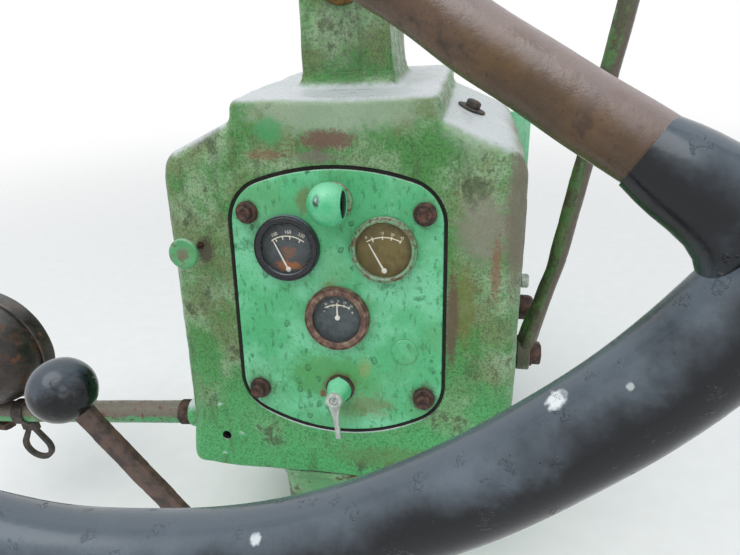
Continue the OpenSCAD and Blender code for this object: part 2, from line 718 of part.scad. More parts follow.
// Half section of the bowl, made smaller by w
module bowl_form(w) {
    rotate_extrude() polygon(concat([[0, 0]],
        [for (a = [0:10:90]) [(bowl_r - w) * cos(a), (lamp_depth - w) * sin(a)]]));
}
module lamp_pipe() color("#5c8a60") difference() {
    on_pipe(-pipe_in) cylinder(d = pipe_d - 0.1, h = pipe_len + pipe_in);
    on_pipe(-pipe_in - 1) cylinder(d = pipe_bore, h = pipe_len + pipe_in + 2);
    translate([-lamp_x, -pipe_out, lamp_z - 2 * lamp_d]) cylinder(d = stud_d + 0.4, h = 2 * lamp_d);
}
module pipe_collar() color("#6b5a48") on_pipe(pipe_boss_h) ring(pipe_collar_d, pipe_d, pipe_collar_h);
module lamp_bowl() color("#2f2c2a") on_lamp() difference() {
    bowl_form(0);
    translate([0, 0, -1]) bowl_form(bowl_wall);
}
module lamp_rim() color("#2a2826") on_lamp() translate([0, 0, -lamp_rim_h + 2]) difference() {
    cylinder(d = lamp_d, h = lamp_rim_h);
    translate([0, 0, 4]) cylinder(d = 2 * bowl_r + 0.4, h = lamp_rim_h);
    translate([0, 0, -1]) cylinder(d = 2 * bowl_r - 4, h = lamp_rim_h);
}
module lamp_lens() color("#cfd8d6") on_lamp()
    translate([0, 0, -lamp_rim_h + 6.2]) cylinder(d = 2 * bowl_r, h = 4);
// Stud with its nut below the pipe and a saddle that carries the bowl
module lamp_nut() color("#33302c") difference() {
    translate([-lamp_x, -pipe_out, pipe_top(lamp_x)]) {
        translate([0, 0, -pipe_d / 2 - 12]) cylinder(d = stud_d, h = pipe_d + 12 + saddle_h / 2);
        translate([0, 0, -pipe_d / 2 - 0.8 - stud_nut_h]) hexagon(stud_d + 8, stud_nut_h);
        translate([0, 0, pipe_d / 2 + 0.8]) cylinder(d = stud_d + 8, h = saddle_h);
    }
    on_lamp() bowl_form(-0.1);
}
// Clip: a band round the pipe, a neck, a flat tab and a pointed loop below it
clip_x = lamp_x - clip_in;
clip_band_w = 14;
clip_neck_d = 6;
clip_tab_w = 19;
clip_tab_h = 12;
clip_tab_drop = 14;
clip_r = 19.5;
clip_bar = 5.5;
clip_drop = 52;
clip_t = 5;
clip_point = clip_drop - clip_tab_drop - clip_tab_h / 2;
// Pointed loop of radius r, its tip at height h above the middle
module clip_drop_form(r, h) {
    polygon(concat([[0, h]], arc(0, 0, r, 90 + acos(r / h), 450 - acos(r / h))));
}
module pipe_clip() color("#3d403c") translate([-clip_x, -pipe_out, pipe_top(clip_x)]) {
    rotate([0, 90 - pipe_droop, 0])
        translate([0, 0, -clip_band_w / 2]) ring(pipe_d + 5, pipe_d + 0.2, clip_band_w);
    translate([0, 0, -clip_tab_drop - clip_tab_h / 2])
        cylinder(d = clip_neck_d, h = clip_tab_h / 2 + clip_tab_drop - pipe_d / 2 - 1);
    translate([-clip_tab_w / 2, -clip_t / 2 - 1, -clip_tab_drop - clip_tab_h])
        cube([clip_tab_w, clip_t + 2, clip_tab_h]);
    translate([0, clip_t / 2, -clip_drop]) rotate([90, 0, 0]) linear_extrude(clip_t) difference() {
        clip_drop_form(clip_r, clip_point + clip_bar);
        clip_drop_form(clip_r - clip_bar, clip_point - clip_bar / 2);
    }
}

// Hand lever on the right side: a flared eye, then a square bar with one edge towards the driver
eye_w = 14;
eye_d = 36;
eye_gap = 0.5;
eye_x = lever_side + lever_boss_h + eye_gap;
lever_x = eye_x + eye_w / 2;
low_x = lever_x + lever_low_len * sin(lever_lean_low);
low_z = lever_z + lever_low_len * cos(lever_lean_low);
flare_len = 60;
flare_x = lever_x + flare_len * tan(lever_lean_low);
bar_r = lever_bar / sqrt(2);
module square_bar(len) {
    rotate([0, 0, 45]) translate([-lever_bar / 2, -lever_bar / 2, 0]) cube([lever_bar, lever_bar, len]);
}
module hand_lever() color("#5d7a58") difference() {
    union() {
        translate([eye_x, lever_y, lever_z]) rotate([0, 90, 0]) cylinder(d = eye_d, h = eye_w);
        translate([lever_x, lever_y, lever_z]) rotate([0, lever_lean_low, 0]) square_bar(lever_low_len + 1);
        translate([0, lever_y, lever_z]) along_y(-lever_bar / 2, lever_bar / 2) polygon([
            [eye_x, 0], [eye_x + eye_w, 0], [eye_x + eye_w, eye_d / 4],
            [flare_x + bar_r - 1, flare_len], [flare_x - bar_r + 1, flare_len], [eye_x, eye_d / 3]
        ]);
        translate([low_x, lever_y, low_z]) rotate([0, lever_lean, 0]) {
            translate([0, 0, -0.5]) square_bar(lever_up_len - grip_len + 3);
            translate([0, 0, lever_up_len - grip_len]) rotate_extrude() polygon(concat(
                [[0, 0], [grip_d / 2 - 2, 0], [grip_d / 2, 2]],
                arc(0, grip_len - grip_d / 2, grip_d / 2, 0, 90)
            ));
        }
    }
    translate([eye_x - 5, lever_y, lever_z]) rotate([0, 90, 0])
        cylinder(r = lever_pin_d / 2 + shaft_clear, h = eye_w + 10);
    translate([eye_x + eye_w, lever_y - eye_d, lever_z - eye_d])
        cube([eye_d, 2 * eye_d, eye_d + lever_washer_d / 2 + 1]);
    translate([eye_x - eye_d, lever_y - eye_d, lever_z - eye_d]) cube([eye_d, 2 * eye_d, 2 * eye_d]);
}
lever_bolt_in = 14;
lever_washer_d = eye_d - 8;
lever_washer_t = 2.5;
module lever_bolt() color("#4a443e")
    translate([lever_side - lever_bolt_in, lever_y, lever_z]) rotate([0, 90, 0]) {
        cylinder(d = lever_pin_d, h = lever_bolt_in + lever_boss_h + eye_gap + eye_w + 1);
        translate([0, 0, lever_bolt_in + lever_boss_h + 2 * eye_gap + eye_w]) {
            cylinder(d = lever_washer_d, h = lever_washer_t);
            hexagon(lever_pin_d + 8, lever_washer_t + 9);
        }
    }
// Domed cap and hex nut on the right side, behind the lever
cap_y = 118;
cap_z = 245;
cap_d = 28;
cap_h = 27;
side_nut_z = 278;
side_nut_h = 20.5;
module side_cap() color("#5b4434") on_side(cap_y, cap_z)
    rotate_extrude() polygon(concat(
        [[0, 0], [cap_d / 2, 0], [cap_d / 2, cap_h - 6]],
        arc(cap_d / 2 - 8, cap_h - 6, 8, 10, 90),
        [[0, cap_h + 2]]
    ));
module side_nut() color("#7c7a70") on_side(cap_y, side_nut_z) {
    cylinder(d = 20, h = 2);
    cylinder(d = 9, h = side_nut_h - 7);
    translate([0, 0, side_nut_h - 8]) hexagon(15, 8);
}

// Shift lever on its bracket
ear_t = 8;
ear_gap = 0.6;
ear_d = 34;
bracket_t = 14;
bracket_w = ear_d + 26;
bracket_past = ear_d * 0.7;
ear_side = ear_t + shift_bar_t / 2 + ear_gap;
shift_head_h = 7;
module on_shift(y = 0) {
    translate([-shift_x, -shift_out + y, shift_z]) children();
}
module shift_bracket() color("#54935f") difference() {
    union() {
        translate([-shift_x - bracket_w / 2, -shift_out - bracket_past, 0])
            cube([bracket_w, shift_out + bracket_past - foot_d / 2, bracket_t]);
        for (s = [-1, 1]) on_shift(s * (shift_bar_t / 2 + ear_gap + ear_t / 2)) {
            rotate([90, 0, 0]) translate([0, 0, -ear_t / 2]) cylinder(d = ear_d, h = ear_t);
            translate([-ear_d / 2, -ear_t / 2, bracket_t - shift_z - 1])
                cube([ear_d, ear_t, shift_z - bracket_t + 1]);
        }
    }
    on_shift(ear_d) rotate([90, 0, 0]) cylinder(d = shift_pin_d, h = 2 * ear_d);
}
module shift_lever() color("#4d3b31") difference() {
    on_shift() rotate([0, -shift_lean, 0]) union() {
        rotate([90, 0, 0]) translate([0, 0, -shift_bar_t / 2]) cylinder(d = 26, h = shift_bar_t);
        translate([-shift_bar_w / 2, -shift_bar_t / 2, 0])
            cube([shift_bar_w, shift_bar_t, shift_len - shift_knob_d / 2 + 3]);
        cylinder(d = 7, h = shift_len + 5);
    }
    on_shift(20) rotate([90, 0, 0]) cylinder(r = shift_pin_d / 2 + shaft_clear, h = 40);
}
module shift_knob() color("#101214") on_shift() rotate([0, -shift_lean, 0]) difference() {
    translate([0, 0, shift_len]) sphere(d = shift_knob_d);
    cylinder(d = 7.2, h = shift_len + 5.5);
    translate([-20, -20, 0]) cube([40, 40, shift_len - shift_knob_d / 2 + 3.2]);
}
module shift_pin() color("#5a5248") on_shift() {
    translate([0, ear_side, 0]) rotate([90, 0, 0]) cylinder(d = shift_pin_d, h = 2 * ear_side);
    for (s = [-1, 1]) translate([0, s * (ear_side + shift_head_h / 2) + shift_head_h / 2, 0])
        rotate([90, 0, 0]) hexagon(shift_pin_d + 7, shift_head_h);
}

housing();
stem();
stem_gasket();
cowl_plate();
instrument_panel();
panel_screws();
gauge_case(0);  // water_gauge_case
gauge_dial(0);  // water_gauge_dial
gauge_needle(0);  // water_gauge_needle
gauge_glass(0);  // water_gauge_glass
gauge_case(1);  // oil_gauge_case
gauge_dial(1);  // oil_gauge_dial
gauge_needle(1);  // oil_gauge_needle
gauge_glass(1);  // oil_gauge_glass
gauge_case(2);  // ammeter_case
gauge_dial(2);  // ammeter_dial
gauge_needle(2);  // ammeter_needle
gauge_glass(2);  // ammeter_glass
dash_lamp_base();
dash_lamp_hood();
switch_collar();
switch_body();
switch_lever();
switch_screw();
blank_plug();
pull_rod();
pull_knob();
shoulder_bolt();
shaft_bush();
steering_shaft();
wheel_spider();
wheel_rim();
hub_nut();
lamp_pipe();
pipe_collar();
lamp_bowl();
lamp_rim();
lamp_lens();
lamp_nut();
pipe_clip();
hand_lever();
lever_bolt();
side_cap();
side_nut();
shift_bracket();
shift_lever();
shift_knob();
shift_pin();
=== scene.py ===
"""Looks of an old tractor's steering and instrument pedestal.

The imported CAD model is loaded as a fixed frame. Each sub-assembly is a class that holds its sizes in
millimetres, works out its surfaces with numpy and dresses them. Every piece rides on a CAD body, and most
stand for a CAD node.
World axes: +X to the driver's right, +Y forward, +Z up, origin under the middle of the foot.
"""

from __future__ import annotations

import functools
import json
import logging
import math
from collections.abc import Sequence
from dataclasses import dataclass
from enum import Enum
from typing import Any

import bmesh
import bpy
import numpy as np
from mathutils import Matrix, Vector

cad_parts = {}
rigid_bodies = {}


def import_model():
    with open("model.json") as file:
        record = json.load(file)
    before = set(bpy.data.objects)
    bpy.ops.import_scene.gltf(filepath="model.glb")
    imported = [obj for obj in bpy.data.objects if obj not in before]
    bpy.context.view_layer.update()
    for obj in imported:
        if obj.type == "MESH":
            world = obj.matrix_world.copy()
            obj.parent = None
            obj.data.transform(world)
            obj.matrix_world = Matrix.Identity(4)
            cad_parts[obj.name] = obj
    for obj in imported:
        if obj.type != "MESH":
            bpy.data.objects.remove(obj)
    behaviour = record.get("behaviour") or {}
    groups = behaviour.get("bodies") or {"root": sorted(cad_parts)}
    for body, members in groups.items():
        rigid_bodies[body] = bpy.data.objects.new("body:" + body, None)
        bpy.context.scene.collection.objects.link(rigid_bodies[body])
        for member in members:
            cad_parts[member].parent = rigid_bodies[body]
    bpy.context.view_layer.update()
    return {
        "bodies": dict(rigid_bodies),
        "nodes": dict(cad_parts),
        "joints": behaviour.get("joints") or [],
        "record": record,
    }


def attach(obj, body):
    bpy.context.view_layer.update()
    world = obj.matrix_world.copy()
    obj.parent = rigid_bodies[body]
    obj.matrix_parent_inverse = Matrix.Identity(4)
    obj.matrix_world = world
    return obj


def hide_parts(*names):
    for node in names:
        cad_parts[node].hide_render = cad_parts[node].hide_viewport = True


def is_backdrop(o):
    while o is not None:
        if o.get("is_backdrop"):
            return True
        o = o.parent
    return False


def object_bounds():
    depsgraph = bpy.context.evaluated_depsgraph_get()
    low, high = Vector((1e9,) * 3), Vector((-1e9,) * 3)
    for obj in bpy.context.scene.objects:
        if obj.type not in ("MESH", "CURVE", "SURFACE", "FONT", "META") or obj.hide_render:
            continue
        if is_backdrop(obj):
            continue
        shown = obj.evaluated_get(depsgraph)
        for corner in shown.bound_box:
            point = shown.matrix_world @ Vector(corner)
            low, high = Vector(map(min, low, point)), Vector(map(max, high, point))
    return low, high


LOG = logging.getLogger("pedestal")
MM = 0.001
Array = np.ndarray
Socket = bpy.types.NodeSocket
Triple = tuple[float, float, float]
X, Y, Z, LEFT, BACK = (1.0, 0.0, 0.0), (0.0, 1.0, 0.0), (0.0, 0.0, 1.0), (-1.0, 0.0, 0.0), (0.0, -1.0, 0.0)


class Body(Enum):
    """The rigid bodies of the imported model."""

    PEDESTAL = "pedestal"
    WHEEL = "steering_wheel"
    HAND = "hand_lever_arm"
    SHIFT = "shift_lever_arm"


def cos_sin(angle: float) -> tuple[float, float]:
    """Cosine and sine of an angle in degrees."""
    return math.cos(math.radians(angle)), math.sin(math.radians(angle))


@dataclass(frozen=True)
class Frame:
    """A right-handed local frame: a place in millimetres and three unit axes in the world."""

    place: Triple
    right: Triple
    up: Triple
    out: Triple

    def world(self, points: Array | Sequence[float]) -> Array:
        """Carry local points (..., 3) to world millimetres: place + x right + y up + z out."""
        return np.asarray(self.place) + np.asarray(points) @ np.array([self.right, self.up, self.out])

    def moved(self, x: float = 0.0, y: float = 0.0, z: float = 0.0, turn: float = 0.0) -> Frame:
        """Shift this frame along its own axes and turn it about its out axis.

        Args:
            x: shift to the right.
            y: shift up.
            z: shift out.
            turn: anticlockwise turn in degrees, seen from outside.

        Returns:
            The new frame.
        """
        c, s = cos_sin(turn)
        right, up = np.array(self.right), np.array(self.up)
        return Frame(tuple(self.world([x, y, z])), tuple(c * right + s * up), tuple(c * up - s * right),
                     self.out)

    def tipped(self, lean: float) -> Frame:
        """Turn this frame about its up axis, so that out leans to the right by lean degrees.

        Args:
            lean: degrees of the lean.

        Returns:
            The new frame.
        """
        c, s = cos_sin(lean)
        right, out = np.array(self.right), np.array(self.out)
        return Frame(self.place, tuple(c * right - s * out), self.up, tuple(c * out + s * right))


def tilted_frame(place: Triple, lean: float) -> Frame:
    """Frame of a face that looks at the driver, its top leaning forward by lean degrees."""
    c, s = cos_sin(lean)
    return Frame(place, X, (0.0, s, c), (0.0, -c, s))


# Frames of the leaning panel and of the wheel, whose out axis is the shaft and rises to the driver.
UPRIGHT = Frame((0.0, 0.0, 0.0), X, Y, Z)
LEAN = 10.0
PANEL = tilted_frame((0.0, -26.0, 316.0), LEAN)
SHAFT_RISE = 7.0
AXIS = tilted_frame((3.0, -338.0, 632.0), SHAFT_RISE)
# Places on the housing that several classes need: side wall, neck, pipe boss, lever boss and two holes.
SIDE_X, SIDE_Z, SIDE_LEAN = 158.5, 150.0, 0.016383
NECK_FRONT, NECK_LEN = 62.0, 104.0
PIPE_Y, PIPE_Z, PIPE_DROOP = -15.0, 173.5, 5.0
LEVER_Y, LEVER_Z = 60.0, 222.0
SPARE_HOLE, PULL_ROD = (-119.5, -142), (-127, 54)


def side_at(z: float) -> float:
    """Half width of the housing at height z; its sides lean outwards above the lower corners."""
    return SIDE_X + SIDE_LEAN * (z - SIDE_Z)


def right_side(y: float, z: float) -> Frame:
    """Frame on the housing's right side, out to the right."""
    return Frame((side_at(z), y, z), Y, (SIDE_LEAN, 0.0, 1.0), (1.0, 0.0, -SIDE_LEAN))


def pipe_frame() -> Frame:
    """Frame on the housing's left side, out along the drooping lamp pipe."""
    c, s = cos_sin(PIPE_DROOP)
    return Frame((-side_at(PIPE_Z), PIPE_Y, PIPE_Z), BACK, (-s, 0.0, c), (-c, 0.0, -s))


def unit(v: Array) -> Array:
    """Scale vectors (..., 3) to length one."""
    return v / np.maximum(np.linalg.norm(v, axis=-1, keepdims=True), 1e-12)


def polar(r: Array | float, a: Array, cx: float = 0.0, cy: float = 0.0) -> Array:
    """Points at radius r and angle a round a centre: centre + r (cos a, sin a)."""
    return np.column_stack([cx + r * np.cos(a), cy + r * np.sin(a)])


def arc(cx: float, cy: float, r: float, a0: float, a1: float, n: int) -> Array:
    """Points (n, 2) on an arc round cx, cy with radius r, from a0 to a1 degrees."""
    return polar(r, np.radians(np.linspace(a0, a1, n)), cx, cy)


def smoothstep(t: Array) -> Array:
    """Smooth rise from 0 to 1: 3 t^2 - 2 t^3 with t held between 0 and 1."""
    t = np.clip(t, 0, 1)
    return t * t * (3 - 2 * t)


def lumps(points: Array, size: float, seed: int) -> Array:
    """Smooth noise: the mean of cosines of random direction and phase, wavelengths near size.

    Args:
        points: array (..., 3) in millimetres.
        size: typical wavelength in millimetres.
        seed: seed of the directions.

    Returns:
        Array (...), roughly between -1 and 1.
    """
    rng, waves = np.random.default_rng(seed), 14
    k = unit(rng.normal(size=(waves, 3))) * (2 * np.pi / size) * rng.uniform(0.6, 1.5, (waves, 1))
    phase = rng.uniform(0, 2 * np.pi, waves)
    return np.cos(points @ k.T + phase).sum(axis=-1) * math.sqrt(2.0 / waves) * 0.6


@dataclass
class Shell:
    """A closed surface as arrays: points in world millimetres, four-sided and three-sided faces."""

    points: Array
    quads: Array
    tris: Array

    def outward(self) -> Shell:
        """Turn the faces outwards: the sum of a . (b x c) over the triangles gives the volume's sign.

        Returns:
            This shell, or one with its faces turned over.
        """
        both = np.concatenate([self.quads[:, [0, 1, 2]], self.quads[:, [0, 2, 3]], self.tris])
        a, b, c = (self.points[both[:, i]] - self.points.mean(axis=0) for i in range(3))
        if np.einsum("ij,ij->", a, np.cross(b, c)) >= 0:
            return self
        return Shell(self.points, self.quads[:, ::-1], self.tris[:, ::-1])

    def shaken(self, size: float, amount: float, seed: int, keep: Array | float = 1.0) -> Shell:
        """Shift the points by smooth noise, as a sand casting or a hand-forged bar is uneven.

        Args:
            size: wavelength in millimetres.
            amount: largest usual shift in millimetres.
            seed: seed of the noise.
            keep: factor on the shift, for all points or at each.

        Returns:
            The shaken shell.
        """
        shift = amount * np.stack([lumps(self.points, size, seed + i) for i in range(3)], axis=-1)
        return Shell(self.points + shift * np.reshape(keep, (-1, 1)), self.quads, self.tris)


def grid_shell(rings: Array, loop: bool = False) -> Shell:
    """Closed surface through rings of points: fans close its ends, unless the rings loop as in a torus.

    Args:
        rings: array (rows, cols, 3) in world millimetres.
        loop: the last ring joins the first.

    Returns:
        The shell, faces outwards.
    """
    rows, cols = rings.shape[:2]
    i = np.arange(rows if loop else rows - 1)[:, None]
    j = np.arange(cols)[None, :]
    k, nxt = (j + 1) % cols, (i + 1) % rows
    quads = np.stack(np.broadcast_arrays(i * cols + j, i * cols + k, nxt * cols + k, nxt * cols + j), -1)
    points, tris = rings.reshape(-1, 3), np.zeros((0, 3), int)
    if not loop:
        n, last = len(points), (rows - 1) * cols
        points = np.vstack([points, rings[0].mean(axis=0), rings[-1].mean(axis=0)])
        tris = np.vstack([
            np.column_stack([np.full(cols, n), k[0], j[0]]),
            np.column_stack([np.full(cols, n + 1), last + j[0], last + k[0]]),
        ])
    return Shell(points, quads.reshape(-1, 4), tris).outward()


def rounded(points: Sequence[Triple], steps: int = 5, closed: bool = False) -> Array:
    """Line through corners, each rounded by a quadratic curve between the points r before and after it.

    Args:
        points: (x, y, r) with the corner's rounding reach r.
        steps: points on each rounding.
        closed: the line returns to its first point.

    Returns:
        Array (n, 2).
    """
    p, reach = np.array(points, float)[:, :2], np.array(points, float)[:, 2]
    if not closed:
        reach[[0, -1]] = 0.0
    d0, d1 = np.roll(p, 1, axis=0) - p, np.roll(p, -1, axis=0) - p
    e0, e1 = p + unit(d0) * reach[:, None], p + unit(d1) * reach[:, None]
    t = np.linspace(0, 1, steps)[None, :, None]
    curve = (1 - t) ** 2 * e0[:, None] + 2 * t * (1 - t) * p[:, None] + t**2 * e1[:, None]
    keep = (reach > 0)[:, None] | (np.arange(steps) == 0)[None, :]
    return curve.reshape(-1, 2)[keep.ravel()]


def turned(frame: Frame, profile: Sequence[tuple[float, ...]] | Array, cols: int = 96, loop: bool = False,
           steps: int = 0) -> Shell:
    """Turned surface: each profile point (r, h) runs round the frame's out axis at height h.

    Args:
        frame: local frame.
        profile: points (r, h) in millimetres, none on the axis, or corners (r, h, reach) to be rounded.
        cols: points round.
        loop: the profile is closed, as for a ring.
        steps: points on each rounded corner, or 0 for plain points.

    Returns:
        The shell.
    """
    p = rounded(profile, steps) if steps else np.asarray(profile, float)
    a = np.linspace(0, 2 * np.pi, cols, endpoint=False)
    high = np.broadcast_to(p[:, 1:2], (len(p), cols))
    return grid_shell(frame.world(np.stack([p[:, :1] * np.cos(a), p[:, :1] * np.sin(a), high], axis=-1)),
                      loop)


def washer(frame: Frame, bore: float, r: float, low: float, high: float,
           edge: tuple[float, float, float, float], cols: int = 56, steps: int = 4) -> Shell:
    """Flat ring whose upper outer edge is worn round.

    Args:
        frame: local frame.
        bore: inner radius.
        r: outer radius.
        low: height of its underside.
        high: height of its top.
        edge: how far the wear reaches down and in, and the rounding of its two corners.
        cols: points round.
        steps: points on each rounded corner.

    Returns:
        The shell.
    """
    down, across, r0, r1 = edge
    corners = [(bore, low, 0), (r, low, 0), (r, high - down, r0), (r - across, high, r1), (bore, high, 0)]
    return turned(frame, corners, cols, True, steps)


def stacked(frame: Frame, outlines: Sequence[Array], heights: Sequence[float], loop: bool = False) -> Shell:
    """Surface through outlines (n, 2) laid in the frame's plane at heights; loop joins last and first."""
    rings = np.stack([np.column_stack([o, np.full(len(o), h)]) for o, h in zip(outlines, heights)])
    return grid_shell(frame.world(rings), loop)


def swept(path: Array, section: Array, up: Triple, scale: Array | float = 1.0) -> Shell:
    """Carry a closed section (n, 2) along a path: path + s (u side + v normal), turned with its tangent.

    Args:
        path: points (m, 3) in world millimetres.
        section: the section's outline.
        up: direction that the normal stays nearest to.
        scale: factor s, for the whole path or at each point.

    Returns:
        The shell.
    """
    tangent = unit(np.gradient(path, axis=0))
    side = unit(np.cross(np.asarray(up), tangent))
    normal = np.cross(tangent, side)
    flat = section[None, :, :1] * side[:, None] + section[None, :, 1:] * normal[:, None]
    return grid_shell(path[:, None] + np.reshape(scale, (-1, 1, 1)) * flat)


def box_outline(w: float, h: float, r: float, steps: int = 5) -> Array:
    """Outline of a rectangle w by h with round corners of radius r."""
    x, y = w / 2 - r, h / 2 - r
    return np.vstack([arc(i * x, j * y, r, a, a + 90, steps)
                      for i, j, a in ((1, 1, 0), (-1, 1, 90), (-1, -1, 180), (1, -1, 270))])


def hex_head(frame: Frame, across: float, h: float, low: float = 0.0, dimple: float = 0.0) -> Shell:
    """Hex head or nut: the hexagon runs up, blends into a circle at its chamfer, and may sink into a dimple.

    Args:
        frame: local frame.
        across: width across the flats.
        h: height.
        low: height at which it stands.
        dimple: radius of the dimple, or 0.

    Returns:
        The shell.
    """
    corners = polar(across / math.sqrt(3), np.radians(np.arange(6) * 60 + 30))
    o = rounded([(x, y, 0.8) for x, y in corners], 4, True)
    disc = unit(o) * across / 2
    rows = [(0.92, 0.0, 0.0), (1.0, 0.0, 0.5), (1.0, 0.0, h - 1.9), (0.985, 0.45, h - 0.9),
            (0.94, 0.9, h - 0.3), (0.86, 1.0, h)]
    if dimple:
        d = dimple / (across / 2)
        rows += [(d * 1.2, 1.0, h), (d, 1.0, h - 0.3), (d * 0.85, 1.0, h - 1.2), (d * 0.5, 1.0, h - 1.7)]
    return stacked(frame, [s * ((1 - k) * o + k * disc) for s, k, _ in rows], [low + v for *_, v in rows])


def seated(name: str, mesh: bpy.types.Mesh, finish: Finish, body: Body,
           nodes: Sequence[str] = ()) -> bpy.types.Object:
    """Give a mesh its finish and make it a piece: seat it on its body and let it stand for CAD nodes.

    Args:
        name: object name.
        mesh: the piece's mesh, in metres.
        finish: its finish.
        body: the body that the piece moves with.
        nodes: CAD nodes that it stands for.

    Returns:
        The piece, its object at the origin.
    """
    mesh.materials.clear()
    mesh.materials.append(finish.material())
    obj = bpy.data.objects.new(name, mesh)
    bpy.context.scene.collection.objects.link(obj)
    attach(obj, body.value)
    if nodes:
        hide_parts(*nodes)
    return obj


def make(name: str, finish: Finish, shells: Shell | Sequence[Shell], *nodes: str, body: Body = Body.PEDESTAL,
         crease: float = 40.0) -> bpy.types.Object:
    """Put shells into one mesh in metres and make it a piece.

    Args:
        name: object name.
        finish: its finish.
        shells: the closed surfaces.
        nodes: CAD nodes that it stands for.
        body: the body that the piece moves with.
        crease: edges sharper than this many degrees stay crisp.

    Returns:
        The piece.
    """
    parts = [shells] if isinstance(shells, Shell) else shells
    starts = np.cumsum([0] + [len(s.points) for s in parts])
    quads = np.vstack([s.quads + n for s, n in zip(parts, starts)])
    tris = np.vstack([s.tris + n for s, n in zip(parts, starts)])
    loops = np.concatenate([quads.ravel(), tris.ravel()]).astype(np.int32)
    first = np.concatenate([np.arange(len(quads)) * 4, len(quads) * 4 + np.arange(len(tris)) * 3])
    mesh = bpy.data.meshes.new(name)
    mesh.vertices.add(int(starts[-1]))
    mesh.vertices.foreach_set("co", (np.vstack([s.points for s in parts]) * MM).astype(np.float32).ravel())
    mesh.loops.add(len(loops))
    mesh.loops.foreach_set("vertex_index", loops)
    mesh.polygons.add(len(first))
    mesh.polygons.foreach_set("loop_start", first.astype(np.int32))
    mesh.update(calc_edges=True)
    mesh.validate()
    mesh.shade_smooth()
    mesh.set_sharp_from_angle(angle=math.radians(crease))
    return seated(name, mesh, finish, body, nodes)


def evaluated(obj: bpy.types.Object) -> bpy.types.Mesh:
    """New mesh of an object with its modifiers applied."""
    return bpy.data.meshes.new_from_object(obj.evaluated_get(bpy.context.evaluated_depsgraph_get()))


def drilled(obj: bpy.types.Object, finish: Finish, *cutters: Shell) -> None:
    """Cut holes: a Boolean difference with closed cutter shells, applied at once.

    Args:
        obj: the piece.
        finish: finish of the holes' walls.
        cutters: what is taken away.
    """
    tool = make("cutter", finish, cutters)
    cut = obj.modifiers.new("holes", "BOOLEAN")
    cut.operation, cut.solver, cut.object = "DIFFERENCE", "EXACT", tool
    mesh = evaluated(obj)
    obj.modifiers.clear()
    obj.data = mesh
    bpy.data.objects.remove(tool)
    mesh.set_sharp_from_angle(angle=math.radians(40.0))


def softened(frame: dict[str, Any], node: str, finish: Finish, width: float) -> None:
    """Stand in for a CAD node with a merged copy of its mesh whose edges are rounded, as a worn edge is.

    Args:
        node: the CAD node.
        finish: its finish.
        width: width of the rounding in millimetres.
    """
    mesh = frame["nodes"][node].data.copy()
    bm = bmesh.new()
    bm.from_mesh(mesh)
    bmesh.ops.remove_doubles(bm, verts=bm.verts, dist=0.02 * MM)
    bmesh.ops.dissolve_limit(bm, angle_limit=math.radians(1.0), verts=bm.verts, edges=bm.edges)
    bm.to_mesh(mesh)
    bm.free()
    mesh.shade_smooth()
    mesh.set_sharp_from_angle(angle=math.radians(60.0))
    bevel = seated(f"{node}_worn", mesh, finish, Body.PEDESTAL, [node]).modifiers.new("edge", "BEVEL")
    bevel.width, bevel.segments = width * MM, 3
    bevel.limit_method, bevel.angle_limit = "ANGLE", math.radians(32.0)


def printed(name: str, text: str, frame: Frame, size: float, finish: Finish) -> None:
    """Plain figures printed on a dial: a text curve made a mesh, then laid in the frame.

    Args:
        name: object name.
        text: figures or signs.
        frame: middle of the figures.
        size: height of the type in millimetres.
        finish: finish of the print.
    """
    curve = bpy.data.curves.new(name, "FONT")
    curve.body, curve.size, curve.extrude = text, size, 0.04
    curve.align_x, curve.align_y = "CENTER", "CENTER"
    holder = bpy.data.objects.new(name, curve)
    bpy.context.scene.collection.objects.link(holder)
    mesh = evaluated(holder)
    bpy.data.objects.remove(holder)
    co = np.empty(len(mesh.vertices) * 3, np.float32)
    mesh.vertices.foreach_get("co", co)
    mesh.vertices.foreach_set("co", (frame.world(co.reshape(-1, 3)) * MM).astype(np.float32).ravel())
    mesh.update()
    seated(name, mesh, finish, Body.PEDESTAL)


def linear(colour: str) -> tuple[float, float, float, float]:
    """Turn an sRGB hex colour into linear RGBA.

    Args:
        colour: the colour as #RRGGBB.

    Returns:
        Red, green, blue and an alpha of 1.
    """
    s = np.array([int(colour[i:i + 2], 16) for i in (1, 3, 5)]) / 255.0
    lin = np.where(s <= 0.04045, s / 12.92, ((s + 0.055) / 1.055) ** 2.4)
    return (float(lin[0]), float(lin[1]), float(lin[2]), 1.0)


@dataclass(frozen=True)
class Stain:
    """A local mark: a soft ellipsoid of colour with a ragged edge."""

    at: Triple
    radii: Triple
    colour: str
    strength: float = 0.8
    ragged: float = 0.5


